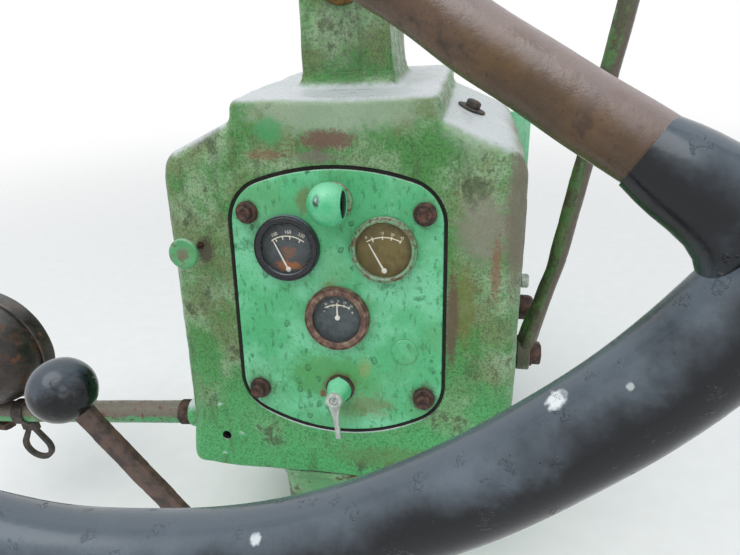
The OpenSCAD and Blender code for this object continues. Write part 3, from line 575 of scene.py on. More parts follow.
class Graph:
    """Shader nodes of a material or a world. A socket is fed by a socket, a number or an sRGB hex colour."""

    def __init__(self, owner: bpy.types.Material | bpy.types.World) -> None:
        """Start from an empty tree.

        Args:
            owner: the material or world.
        """
        owner.use_nodes = True
        self.owner, self.tree = owner, owner.node_tree
        self.tree.nodes.clear()

    def add(self, kind: str, inputs: dict[str | int, Any] | None = None, **settings: str) -> bpy.types.Node:
        """Add a shader node.

        Args:
            kind: the node's type, without the prefix that all shader nodes share.
            inputs: socket name or number to what feeds it.
            settings: attributes of the node.

        Returns:
            The node.
        """
        node = self.tree.nodes.new(f"ShaderNode{kind}")
        for key, value in settings.items():
            setattr(node, key, value)
        for key, value in (inputs or {}).items():
            if isinstance(value, Socket):
                self.tree.links.new(value, node.inputs[key])
            else:
                node.inputs[key].default_value = linear(value) if isinstance(value, str) else value
        return node

    @functools.cached_property
    def coords(self) -> Socket:
        """Object coordinates."""
        return self.add("TexCoord").outputs["Object"]

    @functools.cached_property
    def surface(self) -> bpy.types.Node:
        """The surface's own normal and how pointed it is."""
        return self.add("NewGeometry")

    def noise(self, size: float, detail: float, rough: float, coords: Socket | None = None) -> bpy.types.Node:
        """Add a noise whose features are about size millimetres wide."""
        return self.add("TexNoise", {"Vector": coords or self.coords, "Scale": 1000 / size, "Detail": detail,
                                     "Roughness": rough})

    def grain(self, size: float, detail: float, rough: float) -> Socket:
        """Strength of a noise whose features are about size millimetres wide."""
        return self.noise(size, detail, rough).outputs["Fac"]

    def ramp(self, value: Socket, low: float, high: float, to: float = 1.0, start: float = 0.0) -> Socket:
        """Map value smoothly: start at low, to at high."""
        return self.add("MapRange",
                        {"Value": value, "From Min": low, "From Max": high, "To Min": start, "To Max": to},
                        interpolation_type="SMOOTHSTEP").outputs[0]

    def maths(self, kind: str, *terms: Socket | float) -> Socket:
        """Add a math node."""
        return self.add("Math", dict(enumerate(terms)), operation=kind).outputs[0]

    def over(self, below: Socket | str, above: Socket | str, share: Socket) -> Socket:
        """Mix two colours by share."""
        return self.add("Mix", {0: share, 6: below, 7: above}, data_type="RGBA").outputs[2]

    def bumped(self, height: Socket, depth: float, strength: float, *normal: Socket) -> Socket:
        """Add a bump of depth millimetres over another normal, if one is given."""
        inputs = {"Height": height, "Strength": strength, "Distance": depth * MM}
        return self.add("Bump", inputs | {"Normal": n for n in normal}).outputs[0]

    def upward(self, axis: str, height: Socket, share: float) -> Socket:
        """How far a place faces along an axis, made ragged by half of share each way."""
        facing = self.add("SeparateXYZ", {"Vector": self.surface.outputs["Normal"]})
        return self.maths("ADD", facing.outputs[axis], self.maths("MULTIPLY_ADD", height, share, -share / 2))

    def beads(self, warp: Socket, size: float, lowest: float, widest: float, tall: float = 1.0) -> Socket:
        """Beads of water: cells of size millimetres, each with a round drop whose radius follows its chance.

        Args:
            warp: colour of a noise that bends the outlines.
            size: width of a cell in millimetres.
            lowest: chance below which a cell stays dry.
            widest: largest radius as a share of the cell.
            tall: how much the drops are drawn out downwards.

        Returns:
            How far a place lies inside a drop.
        """
        drawn = self.add("Mapping", {"Vector": self.coords, "Scale": (1.0, 1.0, 1.0 / tall)})
        bent = self.add("Mix", {0: 0.006, 4: drawn.outputs[0], 5: warp}, data_type="VECTOR")
        cell = self.add("TexVoronoi", {"Vector": bent.outputs[1], "Scale": 1000 / size}, feature="F1")
        chance = self.add("SeparateColor", {"Color": cell.outputs["Color"]})
        radius = self.ramp(chance.outputs["Red"], lowest, 1.0, widest)
        return self.maths("SUBTRACT", radius, cell.outputs["Distance"])

    def stained(self, colour: Socket, stains: Sequence[Stain], raggedness: Socket) -> Socket:
        """Lay each stain over a colour: 1 - the scaled distance from its middle, cut ragged by a noise.

        Args:
            colour: colour below.
            stains: the marks.
            raggedness: noise between 0 and 1.

        Returns:
            The colour with the marks.
        """
        for mark in stains:
            place = {"Location": [v * MM for v in mark.at], "Scale": [v * MM for v in mark.radii]}
            spot = self.add("Mapping", {"Vector": self.coords, **place}, vector_type="TEXTURE")
            far = self.add("VectorMath", {0: spot.outputs[0]}, operation="LENGTH")
            rough = self.maths("MULTIPLY_ADD", raggedness, 2.4 * mark.ragged, -1.2 * mark.ragged)
            edge = self.maths("ADD", far.outputs["Value"], rough)
            colour = self.over(colour, mark.colour, self.ramp(edge, 1.0, 0.45, mark.strength))
        return colour

    def closed(self, inputs: dict[str | int, Any]) -> bpy.types.Material:
        """Close a material with one principled shader.

        Args:
            inputs: inputs of the shader.

        Returns:
            The material.
        """
        shader = self.add("BsdfPrincipled", inputs)
        self.add("OutputMaterial", {"Surface": shader.outputs[0]})
        return self.owner


@dataclass(frozen=True)
class OldEnamel:
    """Brushed enamel over iron, decades old: faded and grimy in patches, chipped to rust, wet in places, with
    a colour by facing that is mostly a pale painted sheen.
    """

    name: str
    base: str
    faded: str
    grime: str
    rust: str = "#4A3226"
    patch: float = 45.0
    grime_share: float = 0.45
    rust_share: float = 0.22
    chip: float = 7.0
    grain: float = 1.8
    grain_depth: float = 0.25
    rough: float = 0.42
    wet: float = 0.5
    low_colour: str | None = None
    low_span: tuple[float, float] = (150.0, 300.0)
    # Facing colour, laid where the surface faces along an axis: on most paints a painted sheen of the sky,
    # pale where they face up; on the pipe and the lever a brown tint.
    sheen_and_tint_colour: str = "#C9CDC9"
    sheen_and_tint_share: float = 0.35
    sheen_and_tint_span: tuple[float, float] = (0.45, 0.97)
    sheen_and_tint_axis: str = "Z"
    third: str = "#667048"
    third_share: float = 0.5
    # How far the grain darkens in its pits, with grime, and lightens on its crests as a painted highlight.
    pit_grime_and_crest_highlight: float = 0.12
    drops: float = 0.0
    streaks: float = 0.0
    streak_size: float = 9.0
    streak_long: float = 8.0
    stains: tuple[Stain, ...] = ()

    def paint(self, g: Graph, broad: bpy.types.Node, mid: Socket, fine: Socket) -> Socket:
        """Paint without chips: base, faded and third tone in patches, a lower tone, runs, grime, grain darker
        in its pits and with a painted highlight on its crests, marks.

        Args:
            g: the material's nodes.
            broad: noise of the patches.
            mid: noise of the chips.
            fine: noise of the grain.

        Returns:
            The paint's colour.
        """
        patches = broad.outputs["Fac"]
        colour = g.over(self.base, self.faded, g.ramp(patches, 0.42, 0.64))
        other = g.add("SeparateColor", {"Color": broad.outputs["Color"]})
        colour = g.over(colour, self.third, g.ramp(other.outputs["Green"], 0.48, 0.62, self.third_share))
        if self.low_colour:
            split = g.add("SeparateXYZ", {"Vector": g.coords})
            height = g.maths("ADD", split.outputs["Z"], g.maths("MULTIPLY_ADD", patches, 0.16, -0.08))
            low, high = (v * MM for v in self.low_span)
            colour = g.over(colour, self.low_colour, g.ramp(height, high, low))
        if self.streaks:
            run = g.add("Mapping", {"Vector": g.coords, "Scale": (1.0, 1.0, 1.0 / self.streak_long)})
            streak = g.noise(self.streak_size, 4.0, 0.6, run.outputs[0])
            colour = g.over(colour, self.grime, g.ramp(streak.outputs["Fac"], 0.54, 0.68, self.streaks))
        dirt = g.maths("MULTIPLY_ADD", mid, 0.55, patches)
        least = 1.02 - self.grime_share * 0.5
        colour = g.over(colour, self.grime, g.ramp(dirt, least, least + 0.1, 0.75))
        colour = g.over(colour, self.grime, g.ramp(fine, 0.58, 0.68, 0.6))
        # Grain darker where low, grime in the pits, and lighter where high, a painted highlight on the
        # crests.
        level = g.ramp(fine, 0.35, 0.65, 1.0 + self.pit_grime_and_crest_highlight, 1.0 - self.pit_grime_and_crest_highlight)
        colour = g.add("HueSaturation", {"Color": colour, "Value": level}).outputs[0]
        edges = g.maths("MULTIPLY_ADD", fine, 0.5, g.maths("MULTIPLY", mid, 0.5))
        return g.stained(colour, self.stains, edges)

    @functools.cache
    def material(self) -> bpy.types.Material:
        """Paint, a colour laid by facing (mostly a pale painted sheen where it faces up), chips to rust, cast
        grain and beads of water.

        Returns:
            The material, made once.
        """
        g = Graph(bpy.data.materials.new(self.name))
        broad, spots = g.noise(self.patch, 5.0, 0.62), g.noise(self.chip, 6.0, 0.7)
        mid, fine = spots.outputs["Fac"], g.grain(self.grain, 4.0, 0.65)
        colour = self.paint(g, broad, mid, fine)
        # Painted sheen: the facing colour laid over faces turned along the axis, mostly a pale sky sheen on
        # faces turned up.
        film = g.ramp(g.upward(self.sheen_and_tint_axis, mid, 0.6), *self.sheen_and_tint_span, self.sheen_and_tint_share)
        colour = g.over(colour, self.sheen_and_tint_colour, film)
        edge = g.ramp(g.surface.outputs["Pointiness"], 0.52, 0.60, 0.12)
        chips = g.ramp(g.maths("ADD", edge, mid), 0.86 - self.rust_share, 0.90 - self.rust_share)
        colour = g.over(colour, g.over(self.rust, "#6E4A34", fine), chips)
        shine = g.ramp(mid, 0.35, 0.65, self.rough + 0.16, self.rough * (1 - self.wet))
        matt = g.maths("MULTIPLY_ADD", chips, 0.3, shine)
        normal = g.bumped(fine, self.grain_depth, 0.9, g.bumped(mid, 0.6, 0.6))
        if self.drops:
            bead = g.beads(spots.outputs["Color"], 9.0, 1.0 - self.drops, 0.36, 1.4)
            normal = g.bumped(g.ramp(bead, 0.0, 0.14), 0.9, 1.0, normal)
            colour = g.over(colour, self.grime, g.ramp(bead, 0.0, 0.05, 0.5))
        return g.closed({"Metallic": 0.0, "IOR": 1.45, "Base Color": colour, "Roughness": matt,
                         "Normal": normal})


@dataclass(frozen=True)
class BareMetal:
    """Iron or steel gone brown or grey: scale, rust bloom and worn bright spots, in patches of real size."""

    name: str
    dark: str
    light: str
    bloom: str
    bloom_share: float
    patch: float = 9.0
    grain: float = 0.9
    depth: float = 0.25
    rough: float = 0.55
    metallic: float = 0.0

    @functools.cache
    def material(self) -> bpy.types.Material:
        """Two metal tones, a rust bloom above a threshold, grain in the bump.

        Returns:
            The material, made once.
        """
        g = Graph(bpy.data.materials.new(self.name))
        broad, fine = g.grain(self.patch, 6.0, 0.65), g.grain(self.grain, 4.0, 0.7)
        colour = g.over(self.dark, self.light, g.ramp(broad, 0.36, 0.64))
        both = g.maths("MULTIPLY_ADD", fine, 0.6, broad)
        least = 1.0 - self.bloom_share * 0.5
        colour = g.over(colour, self.bloom, g.ramp(both, least, least + 0.14, 0.85))
        shine = g.ramp(both, 0.3, 0.7, self.rough + 0.2, self.rough - 0.14)
        normal = g.bumped(fine, 0.5 * self.depth, 0.8, g.bumped(broad, self.depth, 0.7))
        return g.closed({"Metallic": self.metallic, "Base Color": colour, "Roughness": shine,
                         "Normal": normal})


@dataclass(frozen=True)
class HardRubber:
    """Black moulded hard rubber, polished by hands and wet: a dull film, a painted sky reflection where it
    faces up, beads, nicks.
    """

    name: str
    black: str = "#14161A"
    film: str = "#3A434A"
    film_share: float = 0.4
    patch: float = 30.0
    bead: float = 5.0
    rough: float = 0.2
    # Colour of a painted reflection of the sky, laid on faces turned up.
    sky: str = "#6C7882"
    sky_reflection_share: float = 0.6
    nicks: tuple[Stain, ...] = ()

    @functools.cache
    def material(self) -> bpy.types.Material:
        """Black with a dull film in patches, a painted sky reflection on faces turned up, beads of water as a
        raised cell pattern.

        Returns:
            The material, made once.
        """
        g = Graph(bpy.data.materials.new(self.name))
        broad, fine = g.grain(self.patch, 5.0, 0.65), g.noise(1.4, 3.0, 0.5)
        least = 0.72 - self.film_share * 0.5
        colour = g.over(self.black, self.film, g.ramp(broad, least, least + 0.18, 0.8))
        dome = g.ramp(g.beads(fine.outputs["Color"], self.bead, 0.35, 0.42), 0.0, 0.2)
        # Painted reflection of the sky on faces turned up.
        colour = g.over(colour, self.sky, g.ramp(g.upward("Z", broad, 1.4), 0.15, 0.9, self.sky_reflection_share))
        colour = g.stained(colour, self.nicks, fine.outputs["Fac"])
        dull = g.ramp(broad, 0.3, 0.7, self.rough + 0.16, self.rough * 0.5)
        normal = g.bumped(dome, 0.5, 0.8, g.bumped(fine.outputs["Fac"], 0.15, 0.35))
        return g.closed({"IOR": 1.36, "Coat Weight": 0.12, "Coat Roughness": 0.1, "Base Color": colour,
                         "Roughness": dull, "Normal": normal})


@dataclass(frozen=True)
class DirtyGlass:
    """Flat gauge glass with a film of dust: mostly see-through, a soft reflection, specks."""

    name: str
    dust: str = "#8A8C80"
    clear: float = 0.97
    speck: float = 0.16

    @functools.cache
    def material(self) -> bpy.types.Material:
        """Low alpha that rises where a noise puts specks.

        Returns:
            The material, made once.
        """
        g = Graph(bpy.data.materials.new(self.name))
        film = g.ramp(g.grain(1.3, 5.0, 0.75), 0.52, 0.72, self.speck, 1.0 - self.clear)
        return g.closed({"Base Color": self.dust, "Roughness": 0.12, "IOR": 1.5, "Alpha": film})


@dataclass(frozen=True)
class DialPaint:
    """Matt printed dial: slate or olive ground, rust bloom creeping in from one side."""

    name: str
    ground: str
    worn: str
    bloom: str = "#9A5A2C"
    stains: tuple[Stain, ...] = ()

    @functools.cache
    def material(self) -> bpy.types.Material:
        """Two near tones, local rust stains, fine specks.

        Returns:
            The material, made once.
        """
        g = Graph(bpy.data.materials.new(self.name))
        mid, fine = g.grain(6.0, 6.0, 0.7), g.grain(0.9, 3.0, 0.7)
        colour = g.over(self.ground, self.worn, g.ramp(mid, 0.4, 0.62))
        colour = g.stained(colour, self.stains, mid)
        colour = g.over(colour, self.bloom, g.ramp(fine, 0.64, 0.74, 0.6))
        return g.closed({"Roughness": 0.6, "Base Color": colour, "Normal": g.bumped(fine, 0.1, 0.3)})


Finish = OldEnamel | BareMetal | HardRubber | DirtyGlass | DialPaint


def face_marks(*rows: tuple[float, float, float, float, float, str, float, float]) -> tuple[Stain, ...]:
    """Stains on the leaning face: rows of x, z, reach across, out and up, colour, strength, raggedness."""
    return tuple(Stain(tuple(PANEL.world([x, z, 0.0])), (across, out, up), *look)
                 for x, z, across, out, up, *look in rows)


# The facing colour here is a near-white painted sheen where the casting faces up.
CASTING = OldEnamel(
    "sand_cast_iron_enamel", "#437C3D", "#86A27C", "#3A4A2C", patch=48.0, grime_share=0.34, rust_share=0.15,
    grain=2.1, grain_depth=0.45, wet=0.4, low_colour="#479C5C", low_span=(150.0, 290.0), third="#66734A",
    third_share=0.7, pit_grime_and_crest_highlight=0.36, sheen_and_tint_colour="#CFD1D6", sheen_and_tint_share=0.85, sheen_and_tint_span=(0.5, 0.98), streaks=0.42,
    streak_size=10.0, streak_long=6.0, stains=(
        *face_marks(
            # The first two rows are painted sheen: pale patches near the top of the front face.
            (0, 172, 95, 60, 26, "#93A68C", 0.8, 0.8), (125, 165, 45, 60, 34, "#9BAE97", 0.7, 0.8),
            (-54, 155, 16, 30, 15, "#3F9058", 0.75, 0.9), (-4, 147, 33, 30, 11, "#684A40", 0.9, 0.8),
            (-15, 133, 27, 30, 7, "#776963", 0.65, 0.9), (-58, 135, 22, 30, 5.5, "#7A5142", 0.6, 1.1),
            (128, 72, 30, 14, 42, "#7F7A6C", 0.75, 0.8), (112, 6, 15, 14, 58, "#5F6526", 0.75, 0.9),
            (139, 38, 6, 14, 40, "#775440", 0.75, 1.3), (103, -8, 7.5, 12, 100, "#574334", 0.85, 0.5),
            (-122, 50, 11, 20, 17, "#40352A", 0.8, 0.6), (60, -152, 90, 30, 16, "#557840", 0.6, 0.9),
            (156, 84, 15, 60, 90, "#6A6052", 0.85, 0.7)),
        Stain((168, 110, 400), (24, 120, 110), "#645A4C", 0.8, 0.8),
        Stain((0, 150, 540), (60, 110, 90), "#777667", 0.6, 0.9)))
STEM_PAINT = OldEnamel("cast_stem_enamel", "#5F9966", "#84AE82", "#3C3A28", patch=40.0, grime_share=0.4,
                       rough=0.4, pit_grime_and_crest_highlight=0.18)
# The facing colour here is a pale painted sheen where the panel faces up.
PANEL_PAINT = OldEnamel(
    "sheet_panel_enamel", "#50AE74", "#74C698", "#357A4C", patch=60.0, grime_share=0.22, rust_share=0.13,
    chip=8.0, grain=2.6, grain_depth=0.05, rough=0.26, wet=0.6, third="#5C9E66", third_share=0.55,
    pit_grime_and_crest_highlight=0.05, drops=0.34, streaks=0.7, streak_size=4.2, streak_long=2.4, sheen_and_tint_share=0.5,
    stains=face_marks(
        (-79, 85.4, 13, 8, 13, "#4B3A2B", 0.8, 0.5), (79, 85.4, 14, 8, 14, "#4B3A2B", 0.8, 0.5),
        (-79, -85.4, 15, 8, 15, "#4B3A2B", 0.8, 0.5), (79, -85.4, 16, 8, 18, "#4B3A2B", 0.85, 0.6),
        (-10, -68, 56, 8, 38, "#4C944E", 0.8, 0.8), (28, -98, 26, 8, 16, "#6F6A42", 0.6, 1.1),
        (8, -104, 20, 8, 11, "#5E7A44", 0.5, 0.9), (24, -60, 9, 8, 12, "#8A9A5E", 0.6, 1.1),
        (-24, 96, 13, 8, 16, "#6B7B4A", 0.8, 0.7), (-17, 92, 5, 8, 12, "#8A5A34", 0.6, 0.9),
        (-6, 18, 9, 8, 10, "#75864E", 0.7, 1.1), (-44, 54, 36, 8, 36, "#37794C", 0.45, 0.6),
        (44, 54, 35, 8, 35, "#37794C", 0.45, 0.6), (3, -12, 37, 8, 37, "#557238", 0.65, 0.6),
        (0, -78, 19, 8, 19, "#6B4630", 0.7, 0.6), (-17, -88, 5, 8, 5, "#7E3220", 0.8, 0.8)))
SHEET = OldEnamel("faded_sheet_enamel", "#7CC79B", "#9AD2AF", "#557A58", patch=60.0, grime_share=0.2,
                  rust_share=0.12, rough=0.45, third="#6FB288", streaks=0.3)
# The facing colour here is brown on the pipe's upper side.
PIPE = OldEnamel("pipe_enamel", "#3F9458", "#5A9668", "#4A3F34", patch=22.0, rust_share=0.28, chip=5.0,
                 grain=1.0, rough=0.36, pit_grime_and_crest_highlight=0.18, sheen_and_tint_colour="#6B5D56", sheen_and_tint_share=0.9,
                 sheen_and_tint_span=(0.0, 0.3))
# The facing colour here is brown on the lever's faces turned to the right.
LEVER = OldEnamel("forged_lever_enamel", "#45693A", "#5E7550", "#3C3229", patch=26.0, grime_share=0.6,
                  rust_share=0.24, chip=4.0, grain=1.0, rough=0.36, pit_grime_and_crest_highlight=0.2, sheen_and_tint_colour="#584B41",
                  sheen_and_tint_share=0.85, sheen_and_tint_span=(0.05, 0.45), sheen_and_tint_axis="X")
# The facing colour here is a faint pale painted sheen where the lamp faces up.
LAMP = OldEnamel("dark_lamp_enamel", "#2B2725", "#443E3B", "#1B1817", rust="#5A3A28", patch=26.0,
                 grime_share=0.4, rust_share=0.25, chip=10.0, grain=1.0, grain_depth=0.08, rough=0.3, wet=0.6,
                 third="#5A3F2E", third_share=0.45, sheen_and_tint_share=0.15)
# The facing colour here is a painted blue-grey reflection of the sky where the bezel faces up.
BLACK_ENAMEL = OldEnamel("black_bezel_enamel", "#1C1D20", "#2C2E33", "#101012", rust="#3E2A20", patch=14.0,
                         rust_share=0.15, chip=3.0, grain=0.8, grain_depth=0.06, rough=0.2, third="#26282C",
                         sheen_and_tint_colour="#7C8490", sheen_and_tint_share=0.6)
RUSTY_GREEN = OldEnamel("overpainted_bezel", "#6FA37C", "#8E9C74", "#5E4C3E", rust="#5E3B34", patch=9.0,
                        grime_share=0.5, rust_share=0.30, chip=3.2, grain=0.8, grain_depth=0.12, rough=0.35)
# The facing colour here is a painted sheen, pale on the spokes' upper side.
SPOKE = OldEnamel("worn_spoke_enamel", "#4D3A26", "#5E4838", "#30241E", patch=34.0, grime_share=0.4,
                  rust_share=0.12, chip=9.0, grain=1.6, grain_depth=0.12, rough=0.3, third="#6B4F2A",
                  pit_grime_and_crest_highlight=0.08, sheen_and_tint_colour="#8F8280", sheen_and_tint_share=0.85, sheen_and_tint_span=(0.1, 0.95))
# The facing colour here is a painted highlight, light mint on the ball's upper side.
BALL = OldEnamel(
    "mint_lamp_enamel", "#4DB97E", "#66C893", "#35704A", patch=16.0, grime_share=0.15, rust_share=0.10,
    chip=5.0, grain=1.2, grain_depth=0.05, rough=0.22, third="#58BC86", pit_grime_and_crest_highlight=0.04, sheen_and_tint_colour="#8ADBB0",
    sheen_and_tint_share=0.8, sheen_and_tint_span=(0.2, 0.9), stains=(
        Stain(tuple(PANEL.world([-6.0, 101, 33.6])), (4.2, 6, 7.5), "#2E2A36", 1.0, 0.7),
        Stain(tuple(PANEL.world([-6.4, 101.6, 34])), (1.3, 3, 2.6), "#B9A9C8", 1.0, 0.4)))
PULL_PAINT = OldEnamel(
    "pull_knob_enamel", "#4E9C66", "#69AC7A", "#5B5238", patch=9.0, rust_share=0.2, chip=3.0, grain=0.8,
    grain_depth=0.1, third_share=0.2,
    stains=(Stain(tuple(PANEL.world([*PULL_ROD, 33.5])), (7.5, 6, 6.5), "#6E6450", 0.85, 1.6),))
RUST = BareMetal("rusted_steel", "#1F1411", "#49322A", "#5A3728", 0.4, 5.0, 0.8, 0.35, 0.4, 0.1)
BROWN_BAR = BareMetal("wet_rusty_bar", "#2E221D", "#5F4B41", "#573A2D", 0.35, 12.0, 1.2, 0.4, 0.34, 0.1)
GREY_STEEL = BareMetal("dull_grey_steel", "#98A198", "#C6CEC6", "#7C7A62", 0.25, 6.0, 0.7, 0.1, 0.4, 0.3)
BRONZE = BareMetal("oily_bronze", "#5A4526", "#8B6F3E", "#3B2C1C", 0.4, 8.0, rough=0.45, metallic=0.7)
CLIP = BareMetal("dark_clip_steel", "#2C2A27", "#4A4640", "#5A4030", 0.35, 7.0, rough=0.5, metallic=0.2)
RUSTY_BEZEL = BareMetal("rusted_bezel", "#463129", "#7C5F50", "#8B9474", 0.26, 7.0, 0.7, 0.2, 0.36, 0.1)
CREAM_PRINT = BareMetal("cream_print", "#E4DEC4", "#F6F1DE", "#A08A5C", 0.2, 2.0, 0.5, 0.02, 0.6)
CREAM_NEEDLE = BareMetal("cream_needle", "#E4E0D0", "#F4F2EA", "#B5652C", 0.3, 6.0, 0.6, 0.02, 0.5)
# Near-black that stands in for the shade inside the spare hole, the panel's gap and the lamp hood.
PAINTED_SHADE = BareMetal("painted_shade_hollow", "#0E0D0C", "#1B1917", "#2A2018", 0.2, rough=0.8)
GASKET = BareMetal("oily_gasket", "#1E1914", "#3A3026", "#2A2018", 0.4, 4.0, rough=0.7)
RUBBER = HardRubber("hard_rubber_rim", nicks=(
    Stain((136.1, -359.6, 483.6), (3.0, 3.0, 3.0), "#DDE2E2", 1.0, 0.4),
    Stain((67.0, -369.1, 441.9), (1.9, 1.9, 1.9), "#C4CACB", 1.0, 0.4),
    Stain((148.7, -364.2, 491.4), (1.0, 1.0, 1.0), "#A4AAAB", 1.0, 0.4)))
# The knob's sky colour is a painted reflection of the sky on its upper side.
KNOB = HardRubber("moulded_black_knob", "#0B0C0E", "#22262B", 0.3, patch=12.0, bead=7.0, rough=0.14,
                  sky="#5E6872")
GLASS = DirtyGlass("gauge_glass")
LENS = DirtyGlass("ribbed_lamp_glass", "#B9C2C0", 0.5, 0.6)
SLATE_DIAL = DialPaint("slate_dial", "#343C41", "#444D52", stains=face_marks(
    (-43, 37, 15, 8, 6, "#A5622E", 0.85, 1.1), (-42, 50, 8, 8, 8, "#8A5534", 0.6, 1.2)))
OLIVE_DIAL = DialPaint("olive_dial", "#5E4E1E", "#70622C", "#3E3418")
AMMETER_DIAL = DialPaint("ammeter_slate_dial", "#3A4448", "#4B565A")


def panel_outline(gap: float) -> Array:
    """Edge of the instrument panel in face coordinates, grown by gap: crowned ends and round corners.

    Args:
        gap: distance outside the edge.

    Returns:
        Points (n, 2) anticlockwise from the bottom's middle, about 1.5 mm apart.
    """
    half_w, top, bottom, top_r, bottom_r, r = 95.0, 123.0, 125.0, 213.0, 160.0, 38.0
    cx, tz, bz = half_w - r, top - top_r, bottom_r - bottom
    hi = tz + math.sqrt((top_r - r) ** 2 - cx**2)
    lo = bz - math.sqrt((bottom_r - r) ** 2 - cx**2)
    ta, ba = math.degrees(math.atan2(hi - tz, cx)), math.degrees(math.atan2(bz - lo, cx))
    t = np.linspace(0, 1, 60)[:-1]
    half = np.vstack([
        arc(0, bz, bottom_r + gap, 270, 360 - ba, 50)[:-1], arc(cx, lo, r + gap, 360 - ba, 360, 24)[:-1],
        np.column_stack([np.full(59, half_w + gap), lo + (hi - lo) * t]),
        arc(cx, hi, r + gap, 0, ta, 24)[:-1], arc(0, tz, top_r + gap, ta, 90, 50),
    ])
    return np.vstack([half, half[-2:0:-1] * [-1, 1]])


@dataclass
class Housing:
    """The cast housing: leaning front with the panel's recess, sloping shoulders, platform, neck, bosses."""

    half_w: float = 163.0
    bottom: float = 140.0
    platform_z: float = 494.0
    step_x: float = 91.5
    shoulder_z: float = 476.0
    slope: float = 24.0
    shoulder_r: float = 30.0
    corner_r: float = 22.0
    bottom_r: float = 10.0
    side_low: float = 200.0
    back: float = 235.0
    wall: float = 7.0
    face_t: float = 10.0
    step_fillet: float = 8.0
    platform_r: float = 9.0
    lip: float = 4.5
    neck_half: float = 43.0
    neck_top_half: float = 38.0
    skirt: float = 13.0

    def line(self, x0: float, z0: float, x1: float, z1: float, r0: float, r1: float,
             gap: float = 4.0) -> Array:
        """Rows of x, z, normal x, normal z, edge radius along a line, its last point left out.

        Args:
            x0: first x.
            z0: first z.
            x1: last x.
            z1: last z.
            r0: edge radius at the first point.
            r1: edge radius at the last point.
            gap: distance between points.

        Returns:
            Array (n, 5).
        """
        n = max(2, int(math.hypot(x1 - x0, z1 - z0) / gap))
        t = np.arange(n) / n
        d = unit(np.array([x1 - x0, z1 - z0])) * np.ones((n, 1))
        return np.column_stack([x0 + (x1 - x0) * t, z0 + (z1 - z0) * t, d[:, 1], -d[:, 0],
                                r0 + (r1 - r0) * smoothstep(t)])

    def bend(self, cx: float, cz: float, r: float, a0: float, a1: float, r0: float, r1: float,
             n: int) -> Array:
        """Rows along an arc; a falling angle is a hollow, whose normal looks at its centre.

        Args:
            cx: x of the centre.
            cz: z of the centre.
            r: radius.
            a0: first angle in degrees.
            a1: last angle in degrees.
            r0: edge radius at the first point.
            r1: edge radius at the last point.
            n: count of points.

        Returns:
            Array (n, 5).
        """
        t = np.arange(n) / n
        a = np.radians(a0 + (a1 - a0) * t)
        return np.column_stack([polar(r, a, cx, cz), polar(math.copysign(1.0, a1 - a0), a),
                                r0 + (r1 - r0) * smoothstep(t)])

    def outline(self) -> tuple[Array, Array, Array]:
        """Outline seen by the driver, anticlockwise from the bottom's middle.

        Lines and arcs are sampled every few millimetres; each point has its outward normal and the radius
        of the front edge there.

        Returns:
            Points (n, 2), normals (n, 2) and edge radii (n,).
        """
        r, b, corner = self.shoulder_r, self.bottom_r, self.corner_r
        fillet, step = self.step_fillet, self.step_x
        (c, s), slope = cos_sin(self.slope), math.radians(self.slope)
        sx, low = self.half_w - r, side_at(self.side_low - 50)
        cz = self.shoulder_z - (sx + r * s - step) * math.tan(slope) - r * c
        fx, fz = step + fillet, self.shoulder_z - fillet * math.tan(slope) + fillet / c
        px, pz = step - self.platform_r, self.platform_z - self.platform_r
        crest = (sx + r * s, cz + r * c)
        hollow = (fx - fillet * s, fz - fillet * c)
        right = np.vstack([
            self.line(0, self.bottom, low - b, self.bottom, 6, 8),
            self.bend(low - b, self.bottom + b, b, 270, 360, 8, 9, 10),
            self.line(low, self.bottom + b, side_at(self.side_low), self.side_low, 9, corner),
            self.line(side_at(self.side_low), self.side_low, self.half_w, cz, corner, corner),
            self.bend(sx, cz, r, 0, 90 - self.slope, corner, 13, 16),
            self.line(*crest, *hollow, 13, 8),
            self.bend(fx, fz, fillet, 270 - self.slope, 180, 8, 8, 7),
            self.line(step, fz, step, pz, 8, 8, 2.0),
            self.bend(px, pz, self.platform_r, 0, 90, 8, 7, 8),
            self.line(px, self.platform_z, 0, self.platform_z, 7, 7),
        ])
        left = right[::-1] * [-1, 1, -1, 1, 1]
        rows = np.vstack([right, [[0, self.platform_z, 0, 1, 7.0]], left[:-1]])
        return rows[:, :2], rows[:, 2:4], rows[:, 4]

    def depth(self, z: Array) -> Array:
        """Y of the leaning face at height z."""
        return PANEL.place[1] + (z - PANEL.place[2]) * math.tan(math.radians(LEAN))

    def panel_edge(self, gap: float, around: Array) -> Array:
        """Panel edge, grown by gap, at the angles at which the points around lie.

        Args:
            gap: distance outside the panel's edge.
            around: points (n, 2) of x and world z.

        Returns:
            Points (n, 2) of x and world z.
        """
        scale, middle = np.array([1.0, cos_sin(LEAN)[0]]), np.array([0.0, PANEL.place[2]])
        e = panel_outline(gap)
        ang = np.unwrap(np.arctan2(e[:, 1], e[:, 0]))
        want = np.arctan2(*((around - middle) / scale).T[::-1])
        want = ang[0] + np.mod(want - ang[0], 2 * np.pi)
        rad = np.interp(want, np.append(ang, ang[0] + 2 * np.pi), np.append(np.hypot(*e.T), np.hypot(*e[0])))
        return middle + polar(rad, want) * scale

